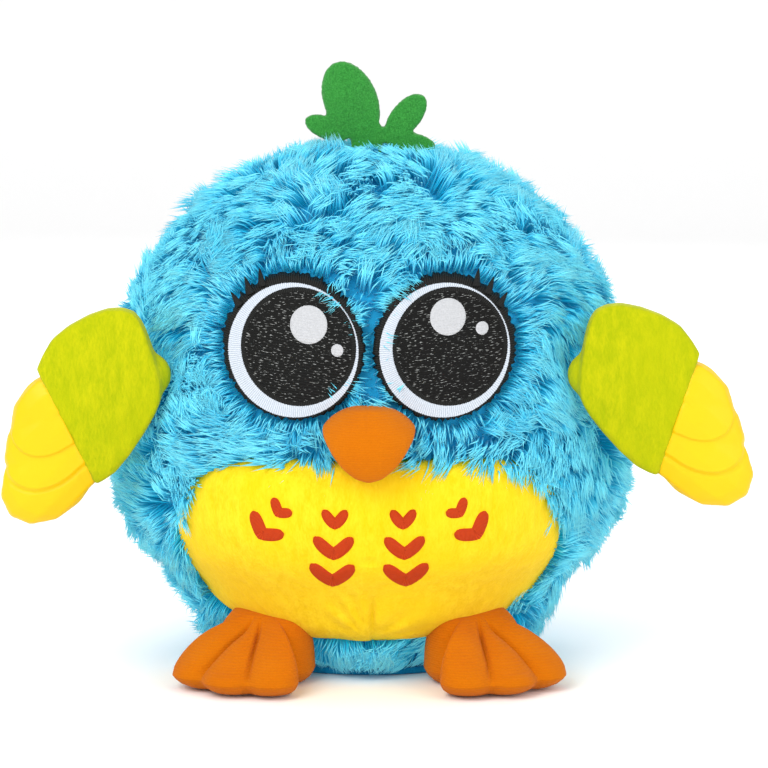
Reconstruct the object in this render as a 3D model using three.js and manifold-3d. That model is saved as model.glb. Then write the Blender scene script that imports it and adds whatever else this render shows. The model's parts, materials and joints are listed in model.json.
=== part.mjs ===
// Interactive plush pet: a stuffed round bird with motor-driven wings and a battery module inside.
// Millimetres, +Z up, the face looks along -Y, the bird's own left is +X. Origin: centre of the base.

import * as THREE from 'three';
import { mergeVertices } from 'three/addons/utils/BufferGeometryUtils.js';
import Module from 'manifold-3d';

const wasm = await Module();
wasm.setup();

// ---------- driving dimensions ----------
const GAP = 0.3; // between pieces that touch
const BODY = { halfWidth: 85, halfDepth: 73, height: 174, floor: 2.8 };
const BASE = { radius: 45, thickness: 2.5 };
const BELLY = { halfWidth: 62, low: 15, high: 77, thickness: 5 };
const EYE = { diameter: 46, spacing: 48.8, height: 114, thickness: 1.8 };
const BEAK = { width: 31, height: 25, reach: 20, centreHeight: 84 };
const LEAF = { thickness: 3.6, height: 42 };
const FOOT = { toeLength: 32, toeWidth: 19, toeHeight: 22, spread: 27, turnOut: 17, apart: 39, forward: 60 };
const WING = { length: 78, width: 45, behind: 11, above: 9, thickness: 13, droop: 45, plane: -51, lift: 42 };
const WING_CLEAR = 10.184; // from the body's side, in the wings' plane, out to their pivots
const PIVOT = { x: BODY.halfWidth * Math.sqrt(1 - (WING.plane / BODY.halfDepth) ** 2) + WING_CLEAR, z: 103 };
const SHAFT = { diameter: 3, bossDiameter: 7 };
const MODULE = { halfWidth: 37, front: -40, split: 10, rear: 42, low: 26, high: 104, wall: 2, corner: 6 };
const COLUMN = { frontRadius: 3.1, rearRadius: 3.4, aboveFloor: 4.5, belowPivot: 23, seat: 4 };
const GUIDE = { x: 22, radius: 2, below: 2 };
const BEAM = { below: 17, above: 15, beyondRack: 9, front: -24, endRadius: 5.5 };
const CELL = { diameter: 14.5, length: 49.5, nub: 1, nubDiameter: 5.5, play: 0.5 };
const CELL_PITCH = CELL.diameter + CELL.play;
const POCKET = { halfWidth: CELL.length / 2 + 3.75, low: 28.3, depth: CELL.diameter + 3.3, wall: 1.6 };
const DOOR = { margin: 1.6, below: 1.2, top: 6, thickness: 1.8, corner: 2 };
const GRIP = { ribs: 5, halfLength: 9, width: 0.9, height: 0.7, pitch: 2, low: 29 };
const ACCESS = { halfWidth: 32.5, low: 24, high: 97 };
const FLAP = { halfWidth: 36, low: 15, high: 100, thickness: 3, seat: 4.6, clear: 0.2 };
const GEAR = { module: 0.9, large: 24, small: 8, face: 3, shoulder: 5, bore: 1.65, hub: 2.6 };
const SECTOR = { module: 1, teeth: 20, face: 4 };
const CRANK = { drop: 13, pinDiameter: 3, pinShort: 0.3 };
const AXLE = { diameter: 3 };
const MOTOR = { length: 25, width: 20, height: 15.1, shaft: 2 };
const SPEAKER = { diameter: 38, depth: 11, height: 50, slot: 1.6, slotPitch: 4.2, slots: 7 };
const MICROPHONE = { x: 25, aboveFloor: 47, radius: 3, depth: 2.7, hole: 0.9 };
const PRESS = { diameter: 28, height: 86, travel: 2.5, stem: 5, standOff: 5 };
const SWITCH = { length: 12, height: 5.5, depth: 6, travel: 3, x: 17, z: 89 };
const SCREW = { shank: 2.2, head: 4.6, length: 12, doorLength: 8, inset: 3.9, slot: 0.7, slotLength: 3 };
const STRIP = { halfWidth: 20, low: 16, high: 22.5 };

// Heights of the layers of the wing drive, from front to back.
const LAYER = {
  yokeFront: -20,
  yokeBack: -16,
  coverFront: -15,
  coverBack: -13,
  crankFront: -12.5,
  secondFront: -7.5,
  firstFront: -3.6,
  plateFront: 2,
  plateBack: 4,
};
const WING_TURN = THREE.MathUtils.degToRad(WING.lift);
const SECTOR_RADIUS = (SECTOR.module * SECTOR.teeth) / 2;
const YOKE_TRAVEL = SECTOR_RADIUS * WING_TURN;
const CRANK_THROW = YOKE_TRAVEL / 2;
const GEAR_CENTRES = (GEAR.module * (GEAR.large + GEAR.small)) / 2;
const SIDES = { left: 1, right: -1 };

// ---------- materials ----------
function paint(color, roughness, metalness = 0) {
  return new THREE.MeshStandardMaterial({ color, roughness, metalness });
}

const MATERIAL = {
  fur: paint(0x4ebcde, 0.9),
  belly: paint(0xf9d229, 0.9),
  lime: paint(0xd4da1c, 0.9),
  vinyl: paint(0xf8de08, 0.45),
  knit: paint(0xeb8803, 0.85),
  felt: paint(0x38993e, 0.95),
  embroidery: paint(0x2f312e, 0.7),
  tape: paint(0x26323a, 0.9),
  shell: paint(0xe9e9e4, 0.45),
  gear: paint(0xf2efe2, 0.4),
  dark: paint(0x2b2d30, 0.5),
  board: paint(0x1f6b3c, 0.5),
  steel: paint(0xc4c7ca, 0.3, 1),
  cell: paint(0x3a5f9a, 0.35, 0.3),
  cone: paint(0x3b3a38, 0.9),
};

// ---------- solids ----------
function solid(geometry) {
  const source = geometry.index ? geometry : mergeVertices(geometry);
  source.deleteAttribute('normal');
  source.deleteAttribute('uv');
  const merged = mergeVertices(source, 1e-4);
  const places = merged.attributes.position.array;
  const triangles = [];
  let volume = 0;
  const [a, b, c] = [new THREE.Vector3(), new THREE.Vector3(), new THREE.Vector3()];
  for (let i = 0; i < merged.index.count; i += 3) {
    const [p, q, r] = [merged.index.getX(i), merged.index.getX(i + 1), merged.index.getX(i + 2)];
    if (p === q || q === r || r === p) continue;
    triangles.push(p, q, r);
    volume += a.fromArray(places, 3 * p).dot(b.fromArray(places, 3 * q).cross(c.fromArray(places, 3 * r)));
  }
  if (volume < 0) triangles.reverse();
  return new wasm.Manifold(
    new wasm.Mesh({
      numProp: 3,
      vertProperties: new Float32Array(places),
      triVerts: new Uint32Array(triangles),
    }),
  );
}

function join(...parts) {
  return parts.reduce((sum, part) => sum.add(part));
}

function cut(part, ...tools) {
  return tools.reduce((rest, tool) => rest.subtract(tool), part);
}

function block(x0, x1, y0, y1, z0, z1) {
  const box = new THREE.BoxGeometry(x1 - x0, y1 - y0, z1 - z0);
  return solid(box.translate((x0 + x1) / 2, (y0 + y1) / 2, (z0 + z1) / 2));
}

// A round bar along Y from y0 to y1; a second radius makes it a cone.
function bar(x, z, radius, y0, y1, sides = 20, rearRadius = radius) {
  const cylinder = new THREE.CylinderGeometry(rearRadius, radius, y1 - y0, sides);
  return solid(cylinder.translate(x, (y0 + y1) / 2, z));
}

// A plate in the XZ plane between y0 and y1, from a shape drawn in X and Z.
function plate(shape, y0, y1, curveSegments = 6) {
  const geometry = new THREE.ExtrudeGeometry(shape, { depth: y1 - y0, bevelEnabled: false, curveSegments });
  return solid(geometry.rotateX(Math.PI / 2).translate(0, y1, 0));
}

function ball(x, y, z, rx, ry, rz, around = 16, rings = 10) {
  return solid(new THREE.SphereGeometry(1, around, rings).scale(rx, ry, rz).translate(x, y, z));
}

function roundedRect(x0, x1, z0, z1, r) {
  const shape = new THREE.Shape();
  shape.moveTo(x0 + r, z0);
  shape.absarc(x1 - r, z0 + r, r, -Math.PI / 2, 0);
  shape.absarc(x1 - r, z1 - r, r, 0, Math.PI / 2);
  shape.absarc(x0 + r, z1 - r, r, Math.PI / 2, Math.PI);
  shape.absarc(x0 + r, z0 + r, r, Math.PI, 1.5 * Math.PI);
  return shape;
}

function polygon(points) {
  return new THREE.Shape(points.map(([x, z]) => new THREE.Vector2(x, z)));
}

// A tube of round section along a curve, closed at both ends.
function coil(curve, radius, steps, sides = 6) {
  const section = new THREE.Shape();
  section.absarc(0, 0, radius, 0, 2 * Math.PI);
  const options = { steps, extrudePath: curve, curveSegments: sides / 2, bevelEnabled: false };
  return solid(new THREE.ExtrudeGeometry(section, options));
}

// ---------- the stuffed body ----------
const BODY_PROFILE = [
  [0.53, 0],
  [0.66, 0.055],
  [0.78, 0.165],
  [0.93, 0.25],
  [1, 0.36],
  [1, 0.52],
  [0.945, 0.68],
  [0.82, 0.79],
  [0.62, 0.895],
  [0.34, 0.97],
  [0, 1],
];

// The body's outer form, grown by an even allowance.
function bodyForm(grow = 0, rings = 16, around = 32) {
  const radius = BODY.halfWidth + grow;
  const low = BODY.floor - grow;
  const tall = BODY.height + grow - low;
  const points = BODY_PROFILE.map(([r, z]) => new THREE.Vector2(r * radius, low + z * tall));
  const curve = new THREE.SplineCurve(points);
  const outline = [new THREE.Vector2(0, low), ...curve.getPoints(rings)];
  const lathe = new THREE.LatheGeometry(outline, around).rotateX(Math.PI / 2);
  return solid(lathe.scale(1, (BODY.halfDepth + grow) / radius, 1));
}

const body = bodyForm();
const bodyClear = bodyForm(GAP);

// Depth of the body's surface in front of (or behind) its axis at a place in X and Z.
function bodyDepth(x, z) {
  const share = (z - BODY.floor) / (BODY.height - BODY.floor);
  const at = BODY_PROFILE.findIndex(([, high]) => high >= share);
  const [[r0, z0], [r1, z1]] = [BODY_PROFILE[at - 1], BODY_PROFILE[at]];
  const reach = (r0 + ((r1 - r0) * (share - z0)) / (z1 - z0)) * BODY.halfWidth;
  return (BODY.halfDepth / BODY.halfWidth) * Math.sqrt(Math.max(reach * reach - x * x, 0));
}

// ---------- wing outlines, drawn for the left wing from its pivot ----------
// Along the wing and across it, as shares of its length and width; the seam ends the plush part.
const WING_EDGE = [
  [0.03, 0.02],
  [0, 0.23],
  [0.1, 0.4],
  [0.3, 0.5],
  [0.45, 0.43],
];
const WING_UNDER = [
  [0.64, -0.46],
  [0.52, -0.5],
  [0.28, -0.43],
  [0.15, -0.32],
];
const TIP_LOBES = [
  { along: 0.53, across: 0.13, length: 0.22, width: 0.27, thick: 0.8 },
  { along: 0.63, across: 0, length: 0.235, width: 0.29, thick: 0.92 },
  { along: 0.74, across: -0.17, length: 0.25, width: 0.3, thick: 1 },
];
const SEAM = { start: WING_EDGE.at(-1), end: WING_UNDER[0] };

function wingPoint([along, across]) {
  const turn = THREE.MathUtils.degToRad(-WING.droop);
  const [u, v] = [along * WING.length - WING.behind, across * WING.width + WING.above];
  return new THREE.Vector2(u * Math.cos(turn) - v * Math.sin(turn), u * Math.sin(turn) + v * Math.cos(turn));
}

function wingPlushShape() {
  const shape = new THREE.Shape();
  const start = wingPoint(WING_UNDER[0]);
  shape.moveTo(start.x, start.y);
  shape.splineThru([...WING_UNDER.slice(1), ...WING_EDGE].map(wingPoint));
  return shape;
}

// The tip's side of the seam, as a block set back by the gap.
function beyondSeam() {
  const [a, b] = [wingPoint(SEAM.start), wingPoint(SEAM.end)];
  const across = new THREE.Vector2().subVectors(b, a).normalize();
  const out = new THREE.Vector2(-across.y, across.x);
  const far = 2 * WING.length;
  const corner = (from, s, t) => [from.x + across.x * s + out.x * t, from.y + across.y * s + out.y * t];
  const near = [corner(a, -far, GAP), corner(b, far, GAP)];
  const shape = polygon([...near, corner(b, far, far), corner(a, -far, far)]);
  return plate(shape, WING.plane - WING.thickness, WING.plane + WING.thickness);
}

// ---------- gears ----------
const PRESSURE = THREE.MathUtils.degToRad(20);
const TOOTH_SLACK = 0.09; // taken off each flank, as a share of the module
const involute = (angle) => Math.tan(angle) - angle;

// Points of involute teeth around part of a gear or all of it; `first` is the first tooth's angle.
function toothPoints(module, teeth, first, count) {
  const pitch = (module * teeth) / 2;
  const base = pitch * Math.cos(PRESSURE);
  const [tip, root] = [pitch + 0.88 * module, pitch - 1.2 * module];
  const halfAtPitch = Math.PI / (2 * teeth) - (TOOTH_SLACK * module) / pitch;
  const halfAt = (r) => halfAtPitch + involute(PRESSURE) - involute(Math.acos(Math.min(1, base / r)));
  const rise = [root, pitch, tip];
  const points = [];
  for (let i = 0; i < count; i++) {
    const centre = first + (2 * Math.PI * i) / teeth;
    for (const r of rise) points.push([r, centre - halfAt(r)]);
    for (const r of [...rise].reverse()) points.push([r, centre + halfAt(r)]);
  }
  return points.map(([r, angle]) => [r * Math.cos(angle), r * Math.sin(angle)]);
}

function gearWheel(teeth, x, z, y0, y1, phase) {
  const shape = polygon(toothPoints(GEAR.module, teeth, phase, teeth));
  return plate(shape, y0, y1).translate([x, 0, z]);
}

// Gear train, by its axes in X and Z: crank, second compound, first compound, motor.
const TRAIN_TURNS = [200, -40, 35].map(THREE.MathUtils.degToRad);
const crankCentre = { x: 0, z: PIVOT.z - CRANK.drop };
const train = [crankCentre];
for (const turn of TRAIN_TURNS) {
  const last = train.at(-1);
  train.push({ x: last.x + GEAR_CENTRES * Math.cos(turn), z: last.z + GEAR_CENTRES * Math.sin(turn) });
}
const [, secondCentre, firstCentre, motorCentre] = train;

// A small gear's first tooth points at its partner and meets a gap of the larger one.
const gapToward = (turn) => turn + Math.PI / GEAR.large;

// ---------- the module's shells ----------
function moduleForm(inset, y0, y1) {
  const { halfWidth, low, high, corner } = MODULE;
  const shape = roundedRect(inset - halfWidth, halfWidth - inset, low + inset, high - inset, corner - inset);
  return plate(shape, y0, y1, 3);
}

// The shoulder beam's outline: a bar across the body with a rounded end round each wing shaft.
function beamForm(inset, y0, y1) {
  const reach = PIVOT.x - SECTOR_RADIUS + BEAM.beyondRack;
  const [low, high] = [PIVOT.z - BEAM.below + inset, PIVOT.z + BEAM.above - inset];
  const end = BEAM.endRadius - inset;
  const shape = new THREE.Shape();
  shape.moveTo(-reach, low);
  shape.lineTo(reach, low);
  shape.absarc(PIVOT.x, PIVOT.z, end, -Math.PI / 3, Math.PI / 3);
  shape.lineTo(reach, high);
  shape.lineTo(-reach, high);
  shape.absarc(-PIVOT.x, PIVOT.z, end, (2 * Math.PI) / 3, (4 * Math.PI) / 3);
  return plate(shape, y0, y1, 3);
}

const columnX = MODULE.halfWidth - SCREW.inset;
const columnHeights = [MODULE.low + COLUMN.aboveFloor, PIVOT.z - COLUMN.belowPivot];
const screwPlaces = [];
for (const z of columnHeights) screwPlaces.push({ x: columnX, z }, { x: -columnX, z });
const screwSeat = MODULE.split + COLUMN.seat;
const microphoneZ = MODULE.low + MICROPHONE.aboveFloor;
const bossFront = 2 - bodyDepth(PIVOT.x, PIVOT.z);

function housingFront() {
  const shell = join(moduleForm(0, MODULE.front, MODULE.split), beamForm(0, BEAM.front, LAYER.coverBack));
  const hollow = join(
    moduleForm(MODULE.wall, MODULE.front + MODULE.wall, MODULE.split + 1),
    beamForm(MODULE.wall, BEAM.front + MODULE.wall, LAYER.coverBack + 1),
  );
  const inside = [];
  for (const { x, z } of screwPlaces) {
    inside.push(bar(x, z, COLUMN.frontRadius, MODULE.front + 1, MODULE.split, 12));
  }
  for (const side of [-1, 1]) {
    const postZ = PIVOT.z - GUIDE.below;
    inside.push(bar(side * GUIDE.x, postZ, GUIDE.radius, MODULE.front + 1, LAYER.yokeBack, 12));
  }
  const bosses = [];
  const cuts = [];
  for (const side of [-1, 1]) {
    bosses.push(bar(side * PIVOT.x, PIVOT.z, SHAFT.bossDiameter / 2, bossFront, BEAM.front + 1, 16));
    cuts.push(bar(side * PIVOT.x, PIVOT.z, SHAFT.diameter / 2 + 0.15, bossFront - 1, BEAM.front + 3, 20));
  }
  for (const { x, z } of screwPlaces) cuts.push(bar(x, z, SCREW.shank / 2 + 0.1, -2, MODULE.split + 1, 10));
  cuts.push(...grille());
  cuts.push(bar(MICROPHONE.x, microphoneZ, MICROPHONE.hole, MODULE.front - 1, MODULE.front + 3, 8));
  cuts.push(bar(0, PRESS.height, PRESS.stem / 2 + 0.3, MODULE.front - 1, MODULE.front + 3, 16));
  const open = shell.subtract(hollow);
  return cut(join(open, ...inside, ...bosses), ...cuts);
}

// Sound slots: parallel slots that fill a circle in front of the loudspeaker.
function grille() {
  const { slot, slotPitch: pitch, slots: count } = SPEAKER;
  const reach = SPEAKER.diameter / 2 - 3.5;
  const slots = [];
  for (let i = 0; i < count; i++) {
    const x = (i - (count - 1) / 2) * pitch;
    const half = Math.sqrt(reach * reach - x * x);
    const [low, high] = [SPEAKER.height - half, SPEAKER.height + half];
    const shape = roundedRect(x - slot / 2, x + slot / 2, low, high, slot / 2.1);
    slots.push(plate(shape, MODULE.front - 1, MODULE.front + MODULE.wall + 1, 2));
  }
  return slots;
}

// Battery pocket, open to the rear, with a rebate for its door.
const pocketHigh = POCKET.low + 3 * CELL_PITCH + 0.6;
const pocketFront = MODULE.rear - POCKET.depth;
const cellAxisY = MODULE.rear - 2.4 - CELL.diameter / 2;
const doorEdge = {
  x: POCKET.halfWidth + DOOR.margin,
  low: POCKET.low - DOOR.below,
  high: pocketHigh + DOOR.top,
};
const doorScrew = { x: 0, z: pocketHigh + DOOR.top / 2 };

function housingRear() {
  const split = MODULE.split + GAP;
  const shell = moduleForm(0, split, MODULE.rear);
  const hollow = moduleForm(MODULE.wall, split - 1, MODULE.rear - MODULE.wall);
  const { wall } = POCKET;
  const tub = block(
    -POCKET.halfWidth - wall,
    POCKET.halfWidth + wall,
    pocketFront - wall,
    MODULE.rear - 1,
    MODULE.low + 1,
    pocketHigh + wall,
  );
  const columns = screwPlaces.map(({ x, z }) => bar(x, z, COLUMN.rearRadius, split, MODULE.rear - 1, 12));
  const pocket = block(
    -POCKET.halfWidth,
    POCKET.halfWidth,
    pocketFront,
    MODULE.rear + 1,
    POCKET.low,
    pocketHigh,
  );
  const doorway = (grow) => {
    const { x, low, high } = doorEdge;
    return roundedRect(-x - grow, x + grow, low - grow, high + grow, DOOR.corner);
  };
  const rebateFront = MODULE.rear - DOOR.thickness - GAP;
  const frame = plate(doorway(GAP + 1.2), rebateFront - wall, MODULE.rear - 1, 2);
  const cuts = [pocket, plate(doorway(GAP), rebateFront, MODULE.rear + 1, 2)];
  for (const { x, z } of screwPlaces) {
    cuts.push(bar(x, z, SCREW.shank / 2 + 0.2, split - 1, screwSeat + 1, 10));
    cuts.push(bar(x, z, SCREW.head / 2 + 0.3, screwSeat, MODULE.rear + 1, 12));
  }
  const slotHalf = 2 + SWITCH.travel / 2 + 0.4;
  const [slotLow, slotHigh] = [SWITCH.z - 1.6, SWITCH.z + 1.6];
  const [slotLeft, slotRight] = [SWITCH.x - slotHalf, SWITCH.x + slotHalf];
  cuts.push(block(slotLeft, slotRight, MODULE.rear - 3, MODULE.rear + 1, slotLow, slotHigh));
  cuts.push(bar(doorScrew.x, doorScrew.z, 1.2, MODULE.rear - 12, MODULE.rear + 1, 10));
  const screwPost = bar(doorScrew.x, doorScrew.z, 3, MODULE.rear - 12, MODULE.rear - 1, 12);
  const kept = join(shell.subtract(hollow), tub, frame.intersect(shell), ...columns, screwPost);
  return cut(kept, ...cuts);
}

function batteryDoor() {
  const front = MODULE.rear - DOOR.thickness;
  const shape = roundedRect(-doorEdge.x, doorEdge.x, doorEdge.low, doorEdge.high, DOOR.corner);
  const ribs = [];
  const { halfLength, height, width } = GRIP;
  for (let i = 0; i < GRIP.ribs; i++) {
    const z = GRIP.low + i * GRIP.pitch;
    ribs.push(block(-halfLength, halfLength, MODULE.rear - 0.2, MODULE.rear + height, z, z + width));
  }
  const hole = bar(doorScrew.x, doorScrew.z, SCREW.shank / 2 + 0.2, front - 1, MODULE.rear + 1, 10);
  const sink = bar(doorScrew.x, doorScrew.z, SCREW.head / 2 + 0.2, MODULE.rear - 1, MODULE.rear + 1, 12);
  return cut(join(plate(shape, front, MODULE.rear, 2), ...ribs), hole, sink);
}

// A pan-head screw along Y, driven from the rear, with a cross recess.
function screw(x, z, seat, length) {
  const head = bar(x, z, SCREW.head / 2, seat + 0.05, seat + 1.6, 12, SCREW.head / 2 - 0.5);
  const shank = bar(x, z, SCREW.shank / 2, seat - length, seat + 0.6, 8);
  const [half, reach] = [SCREW.slot / 2, SCREW.slotLength / 2];
  const cross = join(
    block(x - reach, x + reach, seat + 0.9, seat + 2, z - half, z + half),
    block(x - half, x + half, seat + 0.9, seat + 2, z - reach, z + reach),
  );
  return cut(join(head, shank), cross);
}

// ---------- drive pieces ----------
function yoke() {
  const [low, high] = [crankCentre.z - 1, crankCentre.z + 8.5];
  const slotZ = crankCentre.z + CRANK_THROW;
  const slotHalf = CRANK_THROW + CRANK.pinDiameter / 2 + 0.8;
  const [front, back] = [LAYER.yokeFront, LAYER.yokeBack];
  const rackPitch = PIVOT.x - SECTOR_RADIUS;
  const tooth = Math.PI * SECTOR.module;
  const rackBack = rackPitch - 1.2 * SECTOR.module - 3;
  const [armLow, armHigh] = [PIVOT.z - 6, PIVOT.z + 2];
  const centre = roundedRect(-slotHalf - 5, slotHalf + 5, low, armHigh, 2);
  const arms = block(-rackBack - 1, rackBack + 1, front, back, armLow, armHigh);
  const parts = [plate(centre, front, back, 2), arms];
  const pinSlot = roundedRect(-slotHalf, slotHalf, slotZ - 1.75, slotZ + 1.75, 1.7);
  const cuts = [plate(pinSlot, front - 1, back + 1, 3)];
  for (const side of [-1, 1]) {
    const x = side * GUIDE.x;
    const post = PIVOT.z - GUIDE.below;
    const [slotLow, slotHigh] = [post - 2.3, post + YOKE_TRAVEL + 2.3];
    parts.push(plate(roundedRect(x - 5, x + 5, slotLow - 2.4, slotHigh + 2.4, 2), front, back, 2));
    cuts.push(plate(roundedRect(x - 2.25, x + 2.25, slotLow, slotHigh, 2.2), front - 1, back + 1, 3));
    const lightening = roundedRect(side * 38 - 6, side * 38 + 6, armLow + 2.2, armHigh - 2.2, 1.5);
    cuts.push(plate(lightening, front - 1, back + 1, 2));
    parts.push(rack(side, rackBack, rackPitch, tooth));
  }
  return cut(join(...parts), ...cuts);
}

// One rack: a gap faces the sector's centre at rest, and teeth run past both ends of the travel.
function rack(side, rackBack, rackPitch, tooth) {
  const flank = Math.tan(PRESSURE);
  const thin = TOOTH_SLACK * SECTOR.module;
  const [tip, root] = [rackPitch + 0.88 * SECTOR.module, rackPitch - 1.2 * SECTOR.module];
  const half = (x) => tooth / 4 - thin - (x - rackPitch) * flank;
  const points = [[rackBack, PIVOT.z - 2 * tooth]];
  points.push([root, PIVOT.z - 2 * tooth]);
  for (let i = -2; i < 4; i++) {
    const middle = PIVOT.z + (i + 0.5) * tooth;
    points.push([root, middle - half(root)], [tip, middle - half(tip)]);
    points.push([tip, middle + half(tip)], [root, middle + half(root)]);
  }
  points.push([root, PIVOT.z + 4 * tooth], [rackBack, PIVOT.z + 4 * tooth]);
  const shape = polygon(points.map(([x, z]) => [side * x, z]));
  return plate(shape, LAYER.yokeFront, LAYER.yokeBack);
}

// Toothed sector on the wing shaft, its teeth facing the yoke and covering the wing's whole lift.
function sector() {
  const step = (2 * Math.PI) / SECTOR.teeth;
  const teeth = toothPoints(SECTOR.module, SECTOR.teeth, Math.PI - 4 * step, 6);
  const shape = polygon([[0, 0], ...teeth]);
  const hub = bar(0, 0, 3.4, LAYER.yokeFront, LAYER.yokeBack, 16);
  const bore = bar(0, 0, SHAFT.diameter / 2 + 0.1, LAYER.yokeFront - 1, LAYER.yokeBack + 1, 16);
  return cut(join(plate(shape, LAYER.yokeFront, LAYER.yokeBack), hub), bore);
}

// Arm that carries the wing: a hub on the shaft and a flat paddle sewn inside the wing.
const ARM = { length: 36, width: 15, thickness: 1.6, hub: 3.9, hubDepth: 6, holes: [14, 21, 28] };
function wingArm(grow = 0) {
  const tip = wingPoint([0.6, 0]);
  const angle = Math.atan2(tip.y, tip.x);
  const shape = new THREE.Shape();
  const [half, end] = [ARM.width / 2 + grow, 4 + grow];
  shape.moveTo(0, -5 - grow);
  shape.lineTo(ARM.length * 0.75, -half);
  shape.absarc(ARM.length + grow - end, end - half, end, -Math.PI / 2, 0);
  shape.absarc(ARM.length + grow - end, half - end, end, 0, Math.PI / 2);
  shape.lineTo(ARM.length * 0.75, half);
  shape.lineTo(0, 5 + grow);
  shape.absarc(0, 0, 5 + grow, Math.PI / 2, 1.5 * Math.PI);
  const [front, back] = [WING.plane - ARM.thickness / 2 - grow, WING.plane + ARM.thickness / 2 + grow];
  const paddle = plate(shape, front, back, 4).rotate([0, (-angle * 180) / Math.PI, 0]);
  const hubBack = WING.plane + ARM.hubDepth + (grow > 0 ? WING.thickness : 0);
  const hub = bar(0, 0, ARM.hub + grow, front, hubBack, 16);
  const arm = join(paddle, hub);
  if (grow > 0) return arm;
  const hole = (r) => bar(r * Math.cos(angle), r * Math.sin(angle), 1.3, front - 1, back + 1, 8);
  const holes = ARM.holes.map(hole);
  const bore = bar(0, 0, SHAFT.diameter / 2 + 0.1, WING.plane - 0.2, hubBack + 1, 16);
  return cut(arm, bore, ...holes);
}

// ---------- wings ----------
// A flattened ball lying along the wing, by its centre and half sizes as shares of the wing's.
function wingLens({ along, across, length, width, thick }, around = 16, rings = 6) {
  const centre = wingPoint([along, across]);
  const lens = new THREE.SphereGeometry(1, around, rings).rotateX(Math.PI / 2);
  lens.scale(length * WING.length, (thick * WING.thickness) / 2, width * WING.width);
  lens.rotateY(THREE.MathUtils.degToRad(WING.droop)).translate(centre.x, WING.plane, centre.y);
  return solid(lens);
}

function wingPlush() {
  const outline = plate(wingPlushShape(), WING.plane - WING.thickness, WING.plane + WING.thickness, 2);
  const pillow = wingLens({ along: 0.34, across: 0, length: 0.52, width: 0.64, thick: 1.06 }, 20, 8);
  return outline.intersect(pillow).subtract(wingArm(0.4));
}

function wingTip() {
  const lobes = TIP_LOBES.map((lobe) => wingLens(lobe));
  return join(...lobes).intersect(beyondSeam()).subtract(wingArm(0.4));
}

// ---------- soft pieces on the body ----------
function plushBody() {
  const clear = 1.2;
  const reachRear = BODY.halfDepth + 5;
  const { halfWidth, low, high, front, rear } = MODULE;
  const wide = halfWidth + clear;
  const room = block(-wide, wide, front - clear, rear + clear, low - clear, high + clear);
  const pressRoom = bar(0, PRESS.height, PRESS.diameter / 2 + 1, front - PRESS.standOff - 3.5, front, 20);
  const beamRoom = beamForm(-clear, BEAM.front - clear, LAYER.coverBack + 8);
  const shaftRooms = [-1, 1].map((side) =>
    bar(side * PIVOT.x, PIVOT.z, SHAFT.bossDiameter / 2 + 1, -BODY.halfDepth, BEAM.front, 12),
  );
  const access = block(-ACCESS.halfWidth, ACCESS.halfWidth, rear, reachRear, ACCESS.low, ACCESS.high);
  const flapSeat = flapForm(0.7, -FLAP.seat);
  return cut(body, room, pressRoom, beamRoom, ...shaftRooms, access, flapSeat);
}

// The rear flap follows the body's curve; `depth` is how far in from the surface it reaches.
function flapForm(grow, depth) {
  const { halfWidth, low, high } = FLAP;
  const window = roundedRect(-halfWidth - grow, halfWidth + grow, low - grow, high + grow, 8);
  const tool = plate(window, 5, BODY.halfDepth + 10, 4);
  const skin = (grow > 0 ? bodyForm(4, 16) : body).subtract(bodyForm(depth));
  return skin.intersect(tool);
}

// Yellow panel: a padded layer over the front of the body.
function bellyShape(grow) {
  const { halfWidth, low, high } = BELLY;
  const [w, bottom, top] = [halfWidth + grow, low - grow, high + grow];
  const tall = top - bottom;
  const shape = new THREE.Shape();
  shape.moveTo(0, bottom);
  shape.bezierCurveTo(w * 0.62, bottom, w * 0.9, bottom + tall * 0.12, w * 0.96, bottom + tall * 0.42);
  shape.bezierCurveTo(w * 1.06, bottom + tall * 0.74, w * 0.9, top, w * 0.55, top);
  shape.lineTo(-w * 0.55, top);
  shape.bezierCurveTo(-w * 0.9, top, -w * 1.06, bottom + tall * 0.74, -w * 0.96, bottom + tall * 0.42);
  shape.bezierCurveTo(-w * 0.9, bottom + tall * 0.12, -w * 0.62, bottom, 0, bottom);
  return shape;
}

function bellyForm(grow) {
  const layer = bodyForm(BELLY.thickness + grow).subtract(grow > 0 ? body : bodyClear);
  return layer.intersect(plate(bellyShape(grow), -BODY.halfDepth - 20, 0, 5));
}

function eyePatch(side, grow = 0) {
  const radius = EYE.diameter / 2 + grow;
  const disc = bar((side * EYE.spacing) / 2, EYE.height, radius, -BODY.halfDepth - 10, 0, 32);
  return bodyForm(EYE.thickness + GAP + grow).subtract(grow > 0 ? body : bodyClear).intersect(disc);
}

function beak() {
  const y = -bodyDepth(0, BEAK.centreHeight);
  const [w, h] = [BEAK.width / 2, BEAK.height];
  const top = BEAK.centreHeight + h / 2;
  const shape = new THREE.Shape();
  shape.moveTo(0, top - h);
  shape.bezierCurveTo(w * 0.5, top - h, w * 0.95, top - h * 0.42, w, top - h * 0.28);
  shape.bezierCurveTo(w * 0.85, top + h * 0.04, w * 0.4, top, 0, top);
  shape.bezierCurveTo(-w * 0.4, top, -w * 0.85, top + h * 0.04, -w, top - h * 0.28);
  shape.bezierCurveTo(-w * 0.95, top - h * 0.42, -w * 0.5, top - h, 0, top - h);
  const outline = plate(shape, y - BEAK.reach - 5, 0, 5);
  const mound = ball(0, y + 2, BEAK.centreHeight - 2, w * 1.25, BEAK.reach + 2, h * 0.75, 20, 14);
  return cut(mound.intersect(outline), bodyClear, bellyForm(GAP), eyePatch(1, GAP), eyePatch(-1, GAP));
}

function leafLobe(x, z, length, width, lean) {
  const shape = new THREE.Shape();
  shape.absellipse(0, 0, length / 2, width / 2, 0, 2 * Math.PI);
  const lobe = plate(shape, -LEAF.thickness / 2, LEAF.thickness / 2, 8);
  return lobe.rotate([0, -lean, 0]).translate([x, 0, z]);
}

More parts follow.
